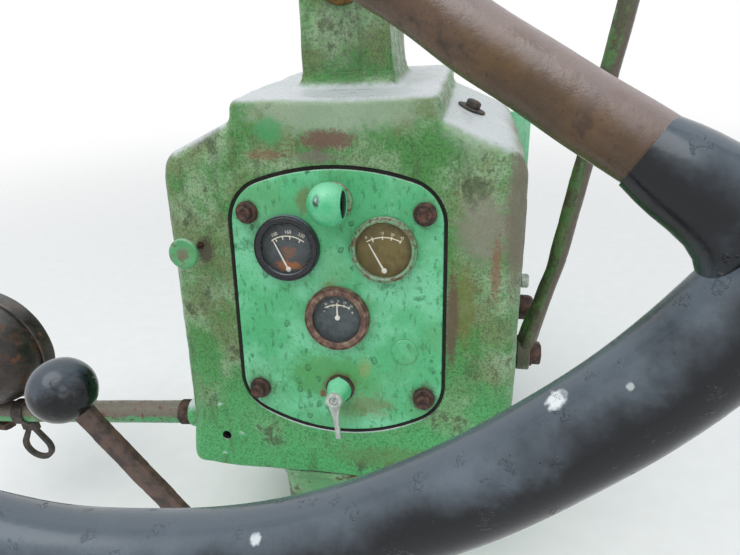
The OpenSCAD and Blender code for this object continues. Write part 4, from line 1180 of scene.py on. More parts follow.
    def skin(self) -> Shell:
        """Skin of the housing as one ring-shaped grid.

        Along the rings runs the outline; across them runs a profile that starts at the recess, crosses the
        face, rounds the front edge by (r - r sin t, r - r cos t), follows the sides back, turns in by the
        wall and comes back inside to the recess.

        Returns:
            The shell.
        """
        p, n, r = self.outline()
        inner, inside = p - r[:, None] * n, p - self.wall * n
        start, full = self.panel_edge(5.2, inner), np.full(len(p), self.back)
        front, y1 = self.depth(p[:, 1]) + r, self.depth(inside[:, 1]) + self.face_t
        lines: list[tuple[Array, Array]] = []
        for gap, deep in ((3.0, self.lip), (3.0, 2.5), (3.0, 1.2), (3.25, 0.45), (4.0, 0.08)):
            e = self.panel_edge(gap, inner)
            lines.append((e, self.depth(e[:, 1]) + deep))
        for t in np.linspace(0, 1, 12)[:-1]:
            q = start + (inner - start) * t
            lines.append((q, self.depth(q[:, 1])))
        for t in np.radians(np.linspace(0, 90, 10)):
            q = p - (r * (1 - math.sin(t)))[:, None] * n
            lines.append((q, self.depth(q[:, 1]) + r * (1 - math.cos(t))))
        lines += [(p, front + (self.back - 1.5 - front) * t) for t in np.linspace(0, 1, 46)[1:]]
        lines += [(p - 0.5 * n, full - 0.4), (p - 1.5 * n, full), (inside, full)]
        lines += [(inside, full + (y1 - full) * t) for t in (0.5, 1.0)]
        e = self.panel_edge(-12.0, inner)
        lines += [(e, self.depth(e[:, 1]) + deep) for deep in (self.face_t, self.lip)]
        shell = grid_shell(np.stack([np.column_stack([q[:, 0], y, q[:, 1]]) for q, y in lines]), loop=True)
        x, y, z = shell.points.T
        far = np.maximum(np.abs(x) - 98, np.abs((z - PANEL.place[2]) / cos_sin(LEAN)[0]) - 130)
        near = np.where(y < self.depth(z) + 25, smoothstep(far / 16), 1.0)
        keep = near * smoothstep((self.back - y) / 6 + 0.2)
        return shell.shaken(85.0, 0.7, 11, keep).shaken(20.0, 0.16, 31, keep)

    def neck(self) -> list[Shell]:
        """Neck that carries the shaft: a section carried forward, and a hollow-edged skirt at its foot.

        The section is two tapering sides and a half circle about the axis; near both ends it draws in by
        r - r sin t while it goes back by r - r cos t. The skirt is a quarter-circle hollow carried round
        the plan.

        Returns:
            Both shells.
        """
        r, rows, x, low = 5.0, [], AXIS.place[0], self.platform_z - 6
        worn = [(r * (1 - math.sin(t)), r * (1 - math.cos(t))) for t in np.radians(np.linspace(15, 90, 6))]
        mids = [(0.0, v) for v in np.linspace(r, NECK_LEN - r, 16)[1:-1]]
        for inset, y in worn + mids + [(w, NECK_LEN - y) for w, y in reversed(worn)]:
            yy = NECK_FRONT + y
            zc = AXIS.place[2] - (yy - AXIS.place[1]) * math.tan(math.radians(SHAFT_RISE))
            head, foot = self.neck_top_half - inset, self.neck_half - inset
            t = np.linspace(0, 1, 12)[:-1]
            side = np.column_stack([foot + (head - foot) * t, low + (zc - low) * t])
            ring = np.vstack([side, arc(0, zc, head, 0, 180, 33), side[::-1] * [-1, 1]])
            rows.append(np.column_stack([ring[:, 0] + x, np.full(len(ring), yy), ring[:, 1]]))
        plan = box_outline(2 * self.neck_half - 1, NECK_LEN, r, 9)
        ahead = unit(np.roll(plan, -1, axis=0) - np.roll(plan, 1, axis=0))
        out = np.column_stack([ahead[:, 1], -ahead[:, 0]])
        s, centre = self.skirt, np.array([x, NECK_FRONT + NECK_LEN / 2])
        steps = [(-4.0, s), *(s - polar(s, np.radians(np.linspace(0, 90, 9)))), (s, -3.0), (-4.0, -3.0)]
        skirt = stacked(UPRIGHT, [centre + plan + out * d for d, _ in steps],
                        [self.platform_z + h for _, h in steps], True)
        return [grid_shell(np.stack(rows)).shaken(40.0, 0.35, 61), skirt.shaken(40.0, 0.25, 62)]

    def bosses(self) -> list[Shell]:
        """Bosses of the lamp pipe and the hand lever, and three cast bumps, each turned about its axis.

        Returns:
            The shells.
        """
        lever = Frame((side_at(LEVER_Z), LEVER_Y, LEVER_Z), Y, Z, X)
        bumps = [turned(PANEL.moved(x, z),
                        [(r + 2, -0.4), (r + 0.5, 0.3), (r - 0.6, 1.6), (r - 2, 2.1), (0.4, 2.2)], 28)
                 for x, z, r in ((-103, -142, 4.5), (-123, -111, 4.0), (-123, -165, 4.0))]
        return [
            turned(pipe_frame(),
                   [(12.3, -3), (19, -3), (18, 0.4), (16.4, 1.8), (15.5, 4.0), (15.25, 12.6), (14.4, 14),
                    (12.3, 14)], 64, True),
            turned(lever,
                   [(6, -3), (27, -3), (25.5, 0.4), (22.5, 1.8), (21.2, 3.4), (21, 5.5), (20, 6.5), (6, 6.5)],
                   72, True),
            *bumps,
        ]

    def build(self) -> None:
        """Make the casting and drill its holes: stem passage, spare screw hole and the pull rod's hole."""
        body = make("housing_casting", CASTING, self.skin(), "housing", crease=45.0)
        spare = PANEL.moved(*SPARE_HOLE)
        drilled(body, CASTING,
                stacked(UPRIGHT, [box_outline(114, 82, 7)] * 2, [self.bottom - 5, self.bottom + 20]),
                turned(spare, [(4.9, -20), (4.75, 5)], 32),
                turned(PANEL.moved(*PULL_ROD), [(3.2, -20), (3.4, 5)], 32))
        # Painted shade: a dark cup lining the spare screw hole.
        dirt = turned(spare, [(0.3, -15), (4.7, -15), (4.7, -0.9), (4.35, -0.9), (4.3, -12), (0.3, -12)], 32)
        make("spare_hole_painted_shade", PAINTED_SHADE, dirt)
        make("housing_neck_and_bosses", CASTING, [*self.neck(), *self.bosses()], crease=45.0)


@dataclass
class InstrumentPanel:
    """The let-in sheet panel with its four flanged screws and the blank plug."""

    sink: float = 0.5
    thick: float = 4.0
    edge_r: float = 1.6
    screw_x: float = 79.0
    screw_z: float = 85.4
    plug: tuple[float, float] = (61.0, -41.0)

    def sheet(self) -> Shell:
        """Panel: its outline shrunk to the middle, a rounded edge, the back; its front is a bit uneven.

        Returns:
            The shell.
        """
        r, low = self.edge_r, -self.sink - self.thick + 0.1
        rows = [(panel_outline(-r) * s, -self.sink) for s in np.linspace(0.03, 1, 26)]
        rows += [(panel_outline(r * math.sin(t) - r), -self.sink - r * (1 - math.cos(t)))
                 for t in np.radians([22, 45, 68, 90])]
        rows += [(panel_outline(0.0), -self.thick), (panel_outline(-1.0), low),
                 (panel_outline(-1.0) * 0.03, low)]
        shell = stacked(PANEL, [o for o, _ in rows], [h for _, h in rows])
        shell.points += np.array(PANEL.out) * (0.22 * lumps(shell.points, 70.0, 41) - 0.1)[:, None]
        return shell

    def screws(self) -> list[Shell]:
        """Four screws: a round flange with a soft edge and a worn hex head with a dimple.

        Returns:
            Flange and head of each screw.
        """
        flange = [(0.3, -12), (3, -12), (3, 0.1), (9.4, 0.1), (9.95, 0.6), (10, 3.2), (9.5, 4.3), (8.6, 5.0),
                  (0.3, 5.1)]
        out = []
        for i, (x, z) in enumerate(((-1, 1), (1, 1), (-1, -1), (1, -1))):
            at = PANEL.moved(x * self.screw_x, z * self.screw_z, -self.sink, 11.0 + 23.0 * i)
            out += [turned(at, flange, 48).shaken(9.0, 0.14, 70 + i),
                    hex_head(at, 13.0, 7.0, 4.9, 3.6).shaken(6.0, 0.16, 75 + i)]
        return out

    def build(self) -> None:
        """Make the panel, the screws, a dark filler that paints the shade in the gap round the panel, and the
        plug.
        """
        make("instrument_panel_sheet", PANEL_PAINT, self.sheet(), "instrument_panel")
        make("panel_screw_heads", RUST, self.screws(), "panel_screws")
        # Painted shade: a dark filler in the gap round the panel.
        filler = stacked(PANEL, [panel_outline(g) for g in (0.25, 0.9, 2.0, 2.8, 2.8, 0.25)],
                         [-1.2, -0.9, -0.9, -1.2, -3.8, -3.8], True)
        make("panel_gap_painted_shade", PAINTED_SHADE, filler.shaken(8.0, 0.12, 78))
        plug = turned(PANEL.moved(*self.plug),
                      [(0.3, -7.5), (8.8, -7.5), (8.8, -0.3), (11.9, -0.3), (12, 0.2),
                       (11.5, 0.65), (10.4, 0.75), (8.6, 0.45), (0.3, 0.4)], 64)
        make("blank_plug_disc", PANEL_PAINT, plug.shaken(9.0, 0.12, 79), "blank_plug")


@dataclass
class Gauge:
    """A round panel gauge: bezel and can, dial with plain figures, needle and glass.

    arc_of holds the scale's first and last x, its height in the middle and its radius; ticks are rows of
    x, z, length and width; figures are rows of text, x, z, size and turn.
    """

    name: str
    finish: Finish
    dial: Finish
    at: tuple[float, float]
    bezel_r: float
    window_r: float
    pivot: float
    needle: float
    tail: float
    turn: float
    arc_of: tuple[float, float, float, float]
    ticks: tuple[tuple[float, float, float, float], ...]
    figures: tuple[tuple[str, float, float, float, float], ...]
    h: float = 6.5

    def bezel(self, f: Frame) -> list[Shell]:
        """Bezel as a turned ring with a rolled lip, and the can behind the panel.

        Args:
            f: frame of the dial's middle.

        Returns:
            The shells.
        """
        b, w, h = self.bezel_r, self.window_r, self.h
        ring = [(25.0, -0.5, 0), (25.0, h - 1.8, 0), (w, h - 1.9, 0.3), (w, h - 1.0, 0.5), (w + 1.0, h, 0.6),
                ((b + w) / 2, h, 1.0), (b - 1.9, h - 0.5, 0.5), (b - 1.7, h - 1.9, 0.2),
                (b - 0.3, h - 2.0, 0.3), (b, h - 3.4, 1.0), (b, -0.5, 0)]
        lip = [(b - 1.6, h - 1.6, 0), (b - 1.5, h - 0.6, 0.3), (b - 0.6, h - 0.5, 0.3), (b - 0.2, h - 2.4, 0),
               (b - 1.0, h - 3.0, 0)]
        can = [(0.3, -38, 0), (26, -38, 2), (26, -1.2, 0), (0.3, -1.2, 0)]
        return [turned(f, ring, 128, True, 5), turned(f, lip, 128, True, 3), turned(f, can, 64, False, 4)]

    def marks(self, f: Frame) -> list[Shell]:
        """Printed marks: a thin arc band through three points of the dial, and the ticks across it.

        Args:
            f: frame of the dial's middle.

        Returns:
            The shells.
        """
        x0, x1, rise, r = self.arc_of
        line = arc(0.0, rise - r, r, *(90 - math.degrees(math.asin(x / r)) for x in (x0, x1)), 40)
        path = f.world(np.column_stack([line, np.full(len(line), 0.05)]))
        marks = [swept(path, box_outline(0.95, 0.08, 0.02, 2), PANEL.out)]
        for x, z, length, width in self.ticks:
            reach = unit(np.array([x, z - (rise - r)])) * length / 2
            ends = np.array([[x, z] - reach, [x, z] + reach])
            path = f.world(np.column_stack([ends, [0.04, 0.04]]))
            marks.append(swept(path, box_outline(width, 0.08, 0.016, 2), PANEL.out))
        return marks

    def pointer(self, f: Frame) -> list[Shell]:
        """Needle: a tapering flat strip on a domed hub, turned about its pivot.

        Args:
            f: frame of the dial's middle.

        Returns:
            The shells.
        """
        f = f.moved(0.0, -self.pivot).moved(turn=self.turn)
        t = np.linspace(0, 1, 12)
        path = f.world(np.column_stack([np.zeros(12), -self.tail + (self.needle + self.tail) * t,
                                        np.full(12, 0.85)]))
        return [
            swept(path, box_outline(1.5, 0.6, 0.15, 2), PANEL.out, 1.1 - 0.45 * t),
            turned(f, [(0.2, 0.1), (2.4, 0.1), (2.4, 0.9), (1.9, 1.35), (0.2, 1.5)], 32),
        ]

    def build(self) -> None:
        """Make the gauge's pieces."""
        f, n = PANEL.moved(*self.at), self.name
        disc = turned(f, [(0.3, -1), (24.7, -1), (24.7, -0.1), (24.5, 0), (0.3, 0)])
        pane = turned(f, [(0.3, 3.4), (24.6, 3.4), (24.8, 3.6), (24.8, 4.4), (24.6, 4.6), (0.3, 4.6)])
        make(f"{n}_bezel", self.finish, self.bezel(f), f"{n}_case")
        make(f"{n}_dial_disc", self.dial, disc, f"{n}_dial")
        make(f"{n}_marks", CREAM_PRINT, self.marks(f))
        make(f"{n}_pointer", CREAM_NEEDLE, self.pointer(f), f"{n}_needle")
        make(f"{n}_window", GLASS, pane, f"{n}_glass")
        for i, (text, x, z, size, turn) in enumerate(self.figures):
            printed(f"{n}_figure_{i}", text, f.moved(x, z, 0.05, turn), size, CREAM_PRINT)


@dataclass
class DashLamp:
    """Small lamp above the gauges: a hollow ball turned to the right on a round base."""

    z: float = 95.5
    r: float = 18.5
    wall: float = 1.5
    out: float = 17.0
    cut: float = 12.5

    def hood(self, f: Frame) -> Shell:
        """Hood turned about the panel's right axis: outer ball to the cut, a rolled rim, the inner ball.

        Args:
            f: frame of the ball, out to the opening.

        Returns:
            The shell.
        """
        a, b = (180 - math.degrees(math.acos(self.cut / r)) for r in (self.r, self.r - self.wall))
        outer = arc(0, 0, self.r, 0.8 - 90, a - 90, 44)
        inner = arc(0, 0, self.r - self.wall, b - 90, 0.9 - 90, 36)
        lip = [[outer[-1, 0] + 0.1, self.cut + 0.35], [inner[0, 0] + 0.6, self.cut + 0.5]]
        return turned(f, np.vstack([outer, lip, inner])).shaken(14.0, 0.10, 81)

    def build(self) -> None:
        """Make hood, base with socket, the small bulb, and a dark ring that paints the shade inside the hood.
        """
        f = PANEL.moved(0.0, self.z)
        ball = Frame(f.moved(z=self.out).place, PANEL.up, PANEL.out, PANEL.right)
        make("dash_lamp_ball", BALL, self.hood(ball), "dash_lamp_hood")
        base = turned(f, [(0.3, -15, 0), (5.8, -15, 0), (5.8, -0.5, 0), (17, -0.5, 0), (17, 2.8, 0.8),
                          (15.6, 3.5, 0.8), (5.6, 3.6, 0.2), (5.5, 14, 0.5), (0.3, 14, 0)], 72, False, 4)
        make("dash_lamp_foot", RUSTY_GREEN, base.shaken(12.0, 0.10, 82), "dash_lamp_base")
        bulb = np.vstack([arc(0, 19.5, 4.4, 89, -50, 14), [[3.0, 13.5], [0.3, 13.5]]])
        make("dash_lamp_bulb", GLASS, turned(f, bulb, 32))
        # Painted shade: a dark ring inside the hood, behind its opening.
        make("dash_lamp_painted_shade", PAINTED_SHADE,
             turned(ball, [(5.4, 10.2), (13.2, 10.2), (13.4, 10.6), (5.4, 10.8)], 64, True))


@dataclass
class LightSwitch:
    """Light switch: round collar, tapered knob with a ridge on top, flat handle hanging from an eye."""

    z: float = -81.0
    low: float = 3.5
    front: float = 23.5
    turn: float = 5.0
    slot: float = 0.55
    slot_turn: float = 62.0
    cap_r: float = 3.7

    def teardrop(self, r: float, tip: float) -> Array:
        """Circle of radius r drawn out to a tip: radius r / cos(d0 - d) within d0 = acos(r / tip).

        Args:
            r: radius of the circle.
            tip: height of the tip.

        Returns:
            Points (n, 2).
        """
        a = np.linspace(0, 2 * np.pi, 72, endpoint=False)
        d, d0 = np.abs(np.angle(np.exp(1j * (a - np.pi / 2)))), math.acos(r / tip)
        return polar(np.where(d < d0, r / np.cos(d0 - d), r), a)

    def knob(self, f: Frame) -> list[Shell]:
        """Tapered knob, closed by small outlines at both ends, and the stud behind it.

        Args:
            f: frame of the switch on the panel.

        Returns:
            The shells.
        """
        size = np.concatenate([[0.02, 0.94, 0.99], np.ones(14), [0.99, 0.95, 0.88, 0.02]])
        t = np.concatenate([[0, 0, 0.02], np.linspace(0.03, 0.96, 14), [0.98, 0.995, 1, 1]])
        outlines = [self.teardrop(12.0 - 4.6 * v, 14.0 - 6.2 * v) * k for v, k in zip(t, size)]
        body = stacked(f, outlines, list(self.low + (self.front - self.low) * t))
        return [body.shaken(10.0, 0.12, 92), turned(f, [(0.3, -15), (5.8, -15), (5.8, 4), (0.3, 4)], 32)]

    def handle(self, f: Frame) -> list[Shell]:
        """Eye round the screw, and a flat handle whose outline shrinks towards its middle at the front.

        Args:
            f: frame of the eye.

        Returns:
            The shells.
        """
        eye = turned(f, [(4, 0, 0), (7.75, 0, 0), (7.75, 3.6, 0.9), (6.9, 4.0, 0.5), (4.4, 4.0, 0.4),
                         (4, 3.2, 0)],
                     56, True, 4)
        shape = rounded([(-5.2, -5.4, 0.4), (-2.25, -17, 6), (-2.25, -38, 1.4), (2.25, -38, 1.4),
                         (2.25, -17, 6), (5.2, -5.4, 0.4)], 5, True)
        mid = np.array([0.0, -22.0])
        rows = ((0.9, 0.98, 0.0), (1, 1, 0.3), (1, 1, 2.9), (0.97, 0.995, 3.4), (0.85, 0.98, 3.7),
                (0.05, 0.5, 3.7))
        bar = stacked(f, [mid + (shape - mid) * (kx, ky) for kx, ky, _ in rows], [h for *_, h in rows])
        return [eye, bar.shaken(12.0, 0.1, 93)]

    def screw(self, f: Frame) -> list[Shell]:
        """Screw head: a disc that carries two half moons, with the slot between them.

        Args:
            f: frame of the eye.

        Returns:
            The shells.
        """
        a, centre = math.degrees(math.asin(self.slot / self.cap_r)), np.array([0.0, 2.0])
        moon = arc(0, 0, self.cap_r, a, 180 - a, 24)
        moons = [stacked(f.moved(turn=self.slot_turn + side),
                         [centre + (moon - centre) * k for k in (1, 1, 0.93, 0.05)],
                         [1.3, 2.2, 2.6, 2.7]) for side in (0.0, 180.0)]
        return [turned(f, [(0.3, 0.2), (3.75, 0.2), (3.75, 1.5), (0.3, 1.5)], 40), *moons]

    def build(self) -> None:
        """Make collar, knob, handle and slotted screw."""
        f = PANEL.moved(0.0, self.z)
        eye = f.moved(z=self.front, turn=self.turn)
        collar = washer(f, 7, 13.5, -0.5, 3.5, (0.6, 1.1, 0.8, 0.6), 64)
        make("switch_collar_ring", RUST, collar.shaken(8.0, 0.12, 91), "switch_collar")
        make("switch_knob", BALL, self.knob(f), "switch_body")
        make("switch_handle", GREY_STEEL, self.handle(eye), "switch_lever")
        make("switch_screw_head", GREY_STEEL, self.screw(eye), "switch_screw")


@dataclass
class SmallParts:
    """Pull knob on its rod, and the bolt on the right shoulder."""

    bolt: tuple[float, float] = (114.0, 106.0)

    def build(self) -> None:
        """Make both."""
        f, house, (x, y) = PANEL.moved(*PULL_ROD), Housing(), self.bolt
        rod = turned(f, np.column_stack([np.full(30, 2.5), np.linspace(-49.5, 28, 30)]), 24)
        make("pull_rod_wire", RUST, rod.shaken(10.0, 0.10, 95), "pull_rod")
        disc = turned(f, [(0.3, 26.6, 0), (5, 26.6, 0.8), (6.2, 28.2, 1.0), (12.3, 29.0, 0.8),
                          (13.25, 29.8, 0.5), (13.25, 32.6, 0.8), (12, 34, 1.2), (8, 33.4, 1.5),
                          (0.3, 33.2, 0)], 72, False, 5)
        make("pull_knob_disc", PULL_PAINT, disc.shaken(9.0, 0.12, 96), "pull_knob")
        z = house.shoulder_z - (x - house.step_x) * math.tan(math.radians(house.slope))
        seat = Frame((x, y, z), X, Y, Z).tipped(house.slope)
        ring = washer(seat, 5, 14, -0.2, 1.5, (0.4, 1.0, 0.5, 0.4))
        head = hex_head(seat.moved(turn=17.0), 13.0, 6.5, 1.5)
        make("shoulder_bolt_head", CLIP, [ring.shaken(10.0, 0.15, 97), head.shaken(8.0, 0.12, 98)],
             "shoulder_bolt")


@dataclass
class SteeringWheel:
    """Steering wheel on its shaft: hard rubber rim, three round spokes, hub and nut, and the bush."""

    r: float = 212.0
    rim: float = 12.0
    spoke: float = 8.0
    dish: float = 60.0
    turn: float = 4.0
    tail: float = 66.0
    bore: float = 11.08

    def spoke_frame(self, i: int) -> Frame:
        """Frame along spoke i: origin in the hub, out towards the rim.

        Args:
            i: number of the spoke.

        Returns:
            The frame.
        """
        a, lift = math.radians(self.turn + 120.0 * i), math.atan2(self.dish, self.r)
        axes = np.array([AXIS.right, AXIS.up, AXIS.out])
        out = np.array([math.sin(a) * math.cos(lift), math.cos(a) * math.cos(lift), math.sin(lift)]) @ axes
        right = np.array([math.cos(a), -math.sin(a), 0.0]) @ axes
        return Frame(tuple(AXIS.world([0, 0, -self.dish])), tuple(right), tuple(np.cross(out, right)),
                     tuple(out))

    def collar(self, i: int) -> Shell:
        """Fillet where spoke i enters the rim: height, width and depth of ellipses along the spoke.

        Args:
            i: number of the spoke.

        Returns:
            The shell.
        """
        rows = ((186, 8.2, 8.2), (188, 8.6, 8.6), (190.5, 9.1, 9.1), (194, 9.6, 9.6), (199, 10, 9.9),
                (203, 10.6, 10.1), (206, 11.8, 10.4), (208, 13.4, 10.5), (210, 16, 10), (211.5, 18.5, 9),
                (213, 16, 8), (214, 8, 4))
        circle = arc(0, 0, 1.0, 0, 360 * 55 / 56, 56)
        return stacked(self.spoke_frame(i), [circle * (w, d) for _, w, d in rows], [h for h, *_ in rows])

    def spokes(self) -> list[Shell]:
        """Three round spokes, each with a flared root, and the hub.

        Returns:
            The shells.
        """
        along, out = np.linspace(14, math.hypot(self.r, self.dish) - 4.5, 60), []
        for i in range(3):
            f = self.spoke_frame(i)
            bar = turned(f, np.column_stack([np.full(60, self.spoke - 0.1), along]), 36)
            root = turned(f, [(13.5, 16, 0), (11.0, 24, 3), (9.4, 29, 3), (8.1, 40, 0)], 36, False, 5)
            out += [bar.shaken(30.0, 0.3, 110 + i), root.shaken(14.0, 0.2, 113 + i)]
        hub = turned(AXIS,
                     [(11.1, -85, 0), (19, -85, 0), (21, -83, 1), (21.5, -74, 3), (23, -68, 3), (23, -42, 3),
                      (21, -36.2, 1.5), (16.5, -35, 1), (11.1, -35, 0)], 80, True, 5)
        return [*out, hub.shaken(18.0, 0.25, 117)]

    def build(self) -> None:
        """Make rim, spokes with hub, nut, shaft with its cross hole, and bush."""
        rim = turned(AXIS, arc(self.r, 0, self.rim, 0, 360 * 39 / 40, 40), 288, True).shaken(60.0, 0.3, 101)
        make("wheel_rim_rubber", RUBBER, [rim, *(self.collar(i) for i in range(3))], "wheel_rim",
             body=Body.WHEEL)
        make("wheel_spokes_and_hub", SPOKE, self.spokes(), "wheel_spider", body=Body.WHEEL)
        nut = hex_head(AXIS.moved(turn=9.0), 34.0, 16.0, -35.0)
        make("wheel_nut", RUST, nut.shaken(14.0, 0.15, 118), "hub_nut", body=Body.WHEEL)
        back = (AXIS.place[1] - NECK_FRONT - NECK_LEN) / cos_sin(SHAFT_RISE)[0]
        front, end, bore = back + NECK_LEN, back - self.tail, self.bore
        shaft = turned(AXIS, [(0.3, end, 0), (8.6, end, 0), (9.9, end + 1.6, 0.4), (9.9, end + 49.5, 0),
                              (10.95, end + 50.5, 0), (10.95, -16.5, 0), (9.6, -15.2, 0.5), (2.6, -15.1, 0.3),
                              (0.3, -17.5, 0)], 56, False, 4)
        rod = make("steering_shaft_rod", BROWN_BAR, shaft, "steering_shaft", body=Body.WHEEL)
        cross = AXIS.moved(z=end + 16.0)
        across = Frame(cross.place, cross.up, cross.out, cross.right)
        drilled(rod, BROWN_BAR, turned(across, [(4.0, -16), (4.0, 16)], 32))
        rings = [turned(AXIS, [(bore, z0, 0), (22, z0, 0), (22, z1, 0.6), (21, z1 + 0.1 * (z1 - z0), 0.3),
                               (bore, z1, 0)], 64, True, 3) for z0,
                 z1 in ((back, back - 3.9), (front, front + 3.9))]
        sleeve = turned(AXIS, [(bore, back), (14.9, back), (14.9, front), (bore, front)], 64, True)
        make("neck_bush_bronze", BRONZE, [*rings, sleeve], "shaft_bush")


@dataclass
class LampArm:
    """Lamp on a drooping pipe arm at the left: pipe, threaded stretch, bowl, rim, lens, foot and clip."""

    x: float = 421.0
    y: float = 1.0
    length: float = 286.1
    pipe_r: float = 12.25
    sunk: float = 5.0
    rise: float = 70.0
    bowl_r: float = 65.0
    deep: float = 66.0
    wall: float = 2.0
    lens_r: float = 64.6
    flute: float = 9.0

    def lamp_frame(self) -> Frame:
        """Frame in the middle of the bowl's mouth: out to the driver, along the bowl."""
        drop = (self.x - side_at(PIPE_Z)) * math.tan(math.radians(PIPE_DROOP))
        return Frame((-self.x, self.y, PIPE_Z - drop + self.pipe_r - self.sunk + self.rise), X, Z, BACK)

    def lens(self, f: Frame) -> Shell:
        """Lens: a flat disc whose forward side has upright flutes, y += depth |sin(pi x / width)|.

        Args:
            f: frame of the bowl's mouth.

        Returns:
            The shell.
        """
        edge = [np.column_stack([np.linspace(a, b, n), np.full(n, h)])
                for a, b, n, h in ((0.4, self.lens_r, 40, -5.9), (self.lens_r, 0.4, 80, -9.0))]
        shell = turned(f, np.vstack(edge), 128)
        front = shell.points[:, 1] > self.y + 8.0
        across = (shell.points[front, 0] + self.x) * math.pi / self.flute
        shell.points[front, 1] += 0.55 * np.abs(np.sin(across)) - 0.3
        return shell

    def build(self, frame: dict[str, Any]) -> None:
        """Make the arm's pieces.
        """
        f, g, end = pipe_frame(), self.lamp_frame(), self.length
        outside = np.column_stack([np.full(80, 12.2), np.linspace(-13.5, end - 0.8, 80)])
        tube = np.vstack([outside, [[11.7, end - 0.1], [9.7, end - 0.1], [9.25, end - 1], [9.25, -13.5]]])
        make("lamp_pipe_tube", PIPE, turned(f, tube, 56, True).shaken(26.0, 0.18, 121), "lamp_pipe")
        turns = np.arange(14.2, 26.6, 0.75)
        crests = np.column_stack([np.where(np.arange(len(turns)) % 2, 12.85, 13.5), turns])
        thread = np.vstack([[[12.26, 14.1]], crests, [[12.9, 27.0], [12.26, 27.0]]])
        make("pipe_thread", BROWN_BAR, turned(f, thread, 56, True).shaken(9.0, 0.14, 122), "pipe_collar")
        outer = arc(0, 0, 1.0, 89.5, 0, 46) * (self.bowl_r, self.deep)
        inner = arc(0, 0, 1.0, 0, 89.4, 40) * (self.bowl_r - self.wall, self.deep - self.wall)
        make("lamp_bowl_shell", LAMP, turned(g, np.vstack([outer, inner]), 128).shaken(45.0, 0.3, 123),
             "lamp_bowl")
        rim = turned(g,
                     [(63.1, -16, 0), (68.2, -16, 0.8), (69.9, -14, 1.2), (69.9, -2.6, 1.5), (68.9, 1.4, 1.2),
                      (67.0, 2.0, 0.6), (65.5, 1.0, 0.3), (65.5, -11.9, 0), (63.1, -11.9, 0)], 128, True, 5)
        make("lamp_rim_ring", LAMP, rim.shaken(45.0, 0.2, 124), "lamp_rim")
        make("lamp_lens_ribbed", LENS, self.lens(g), "lamp_lens")
        softened(frame, "lamp_nut", RUST, 0.7)
        softened(frame, "pipe_clip", CLIP, 0.9)


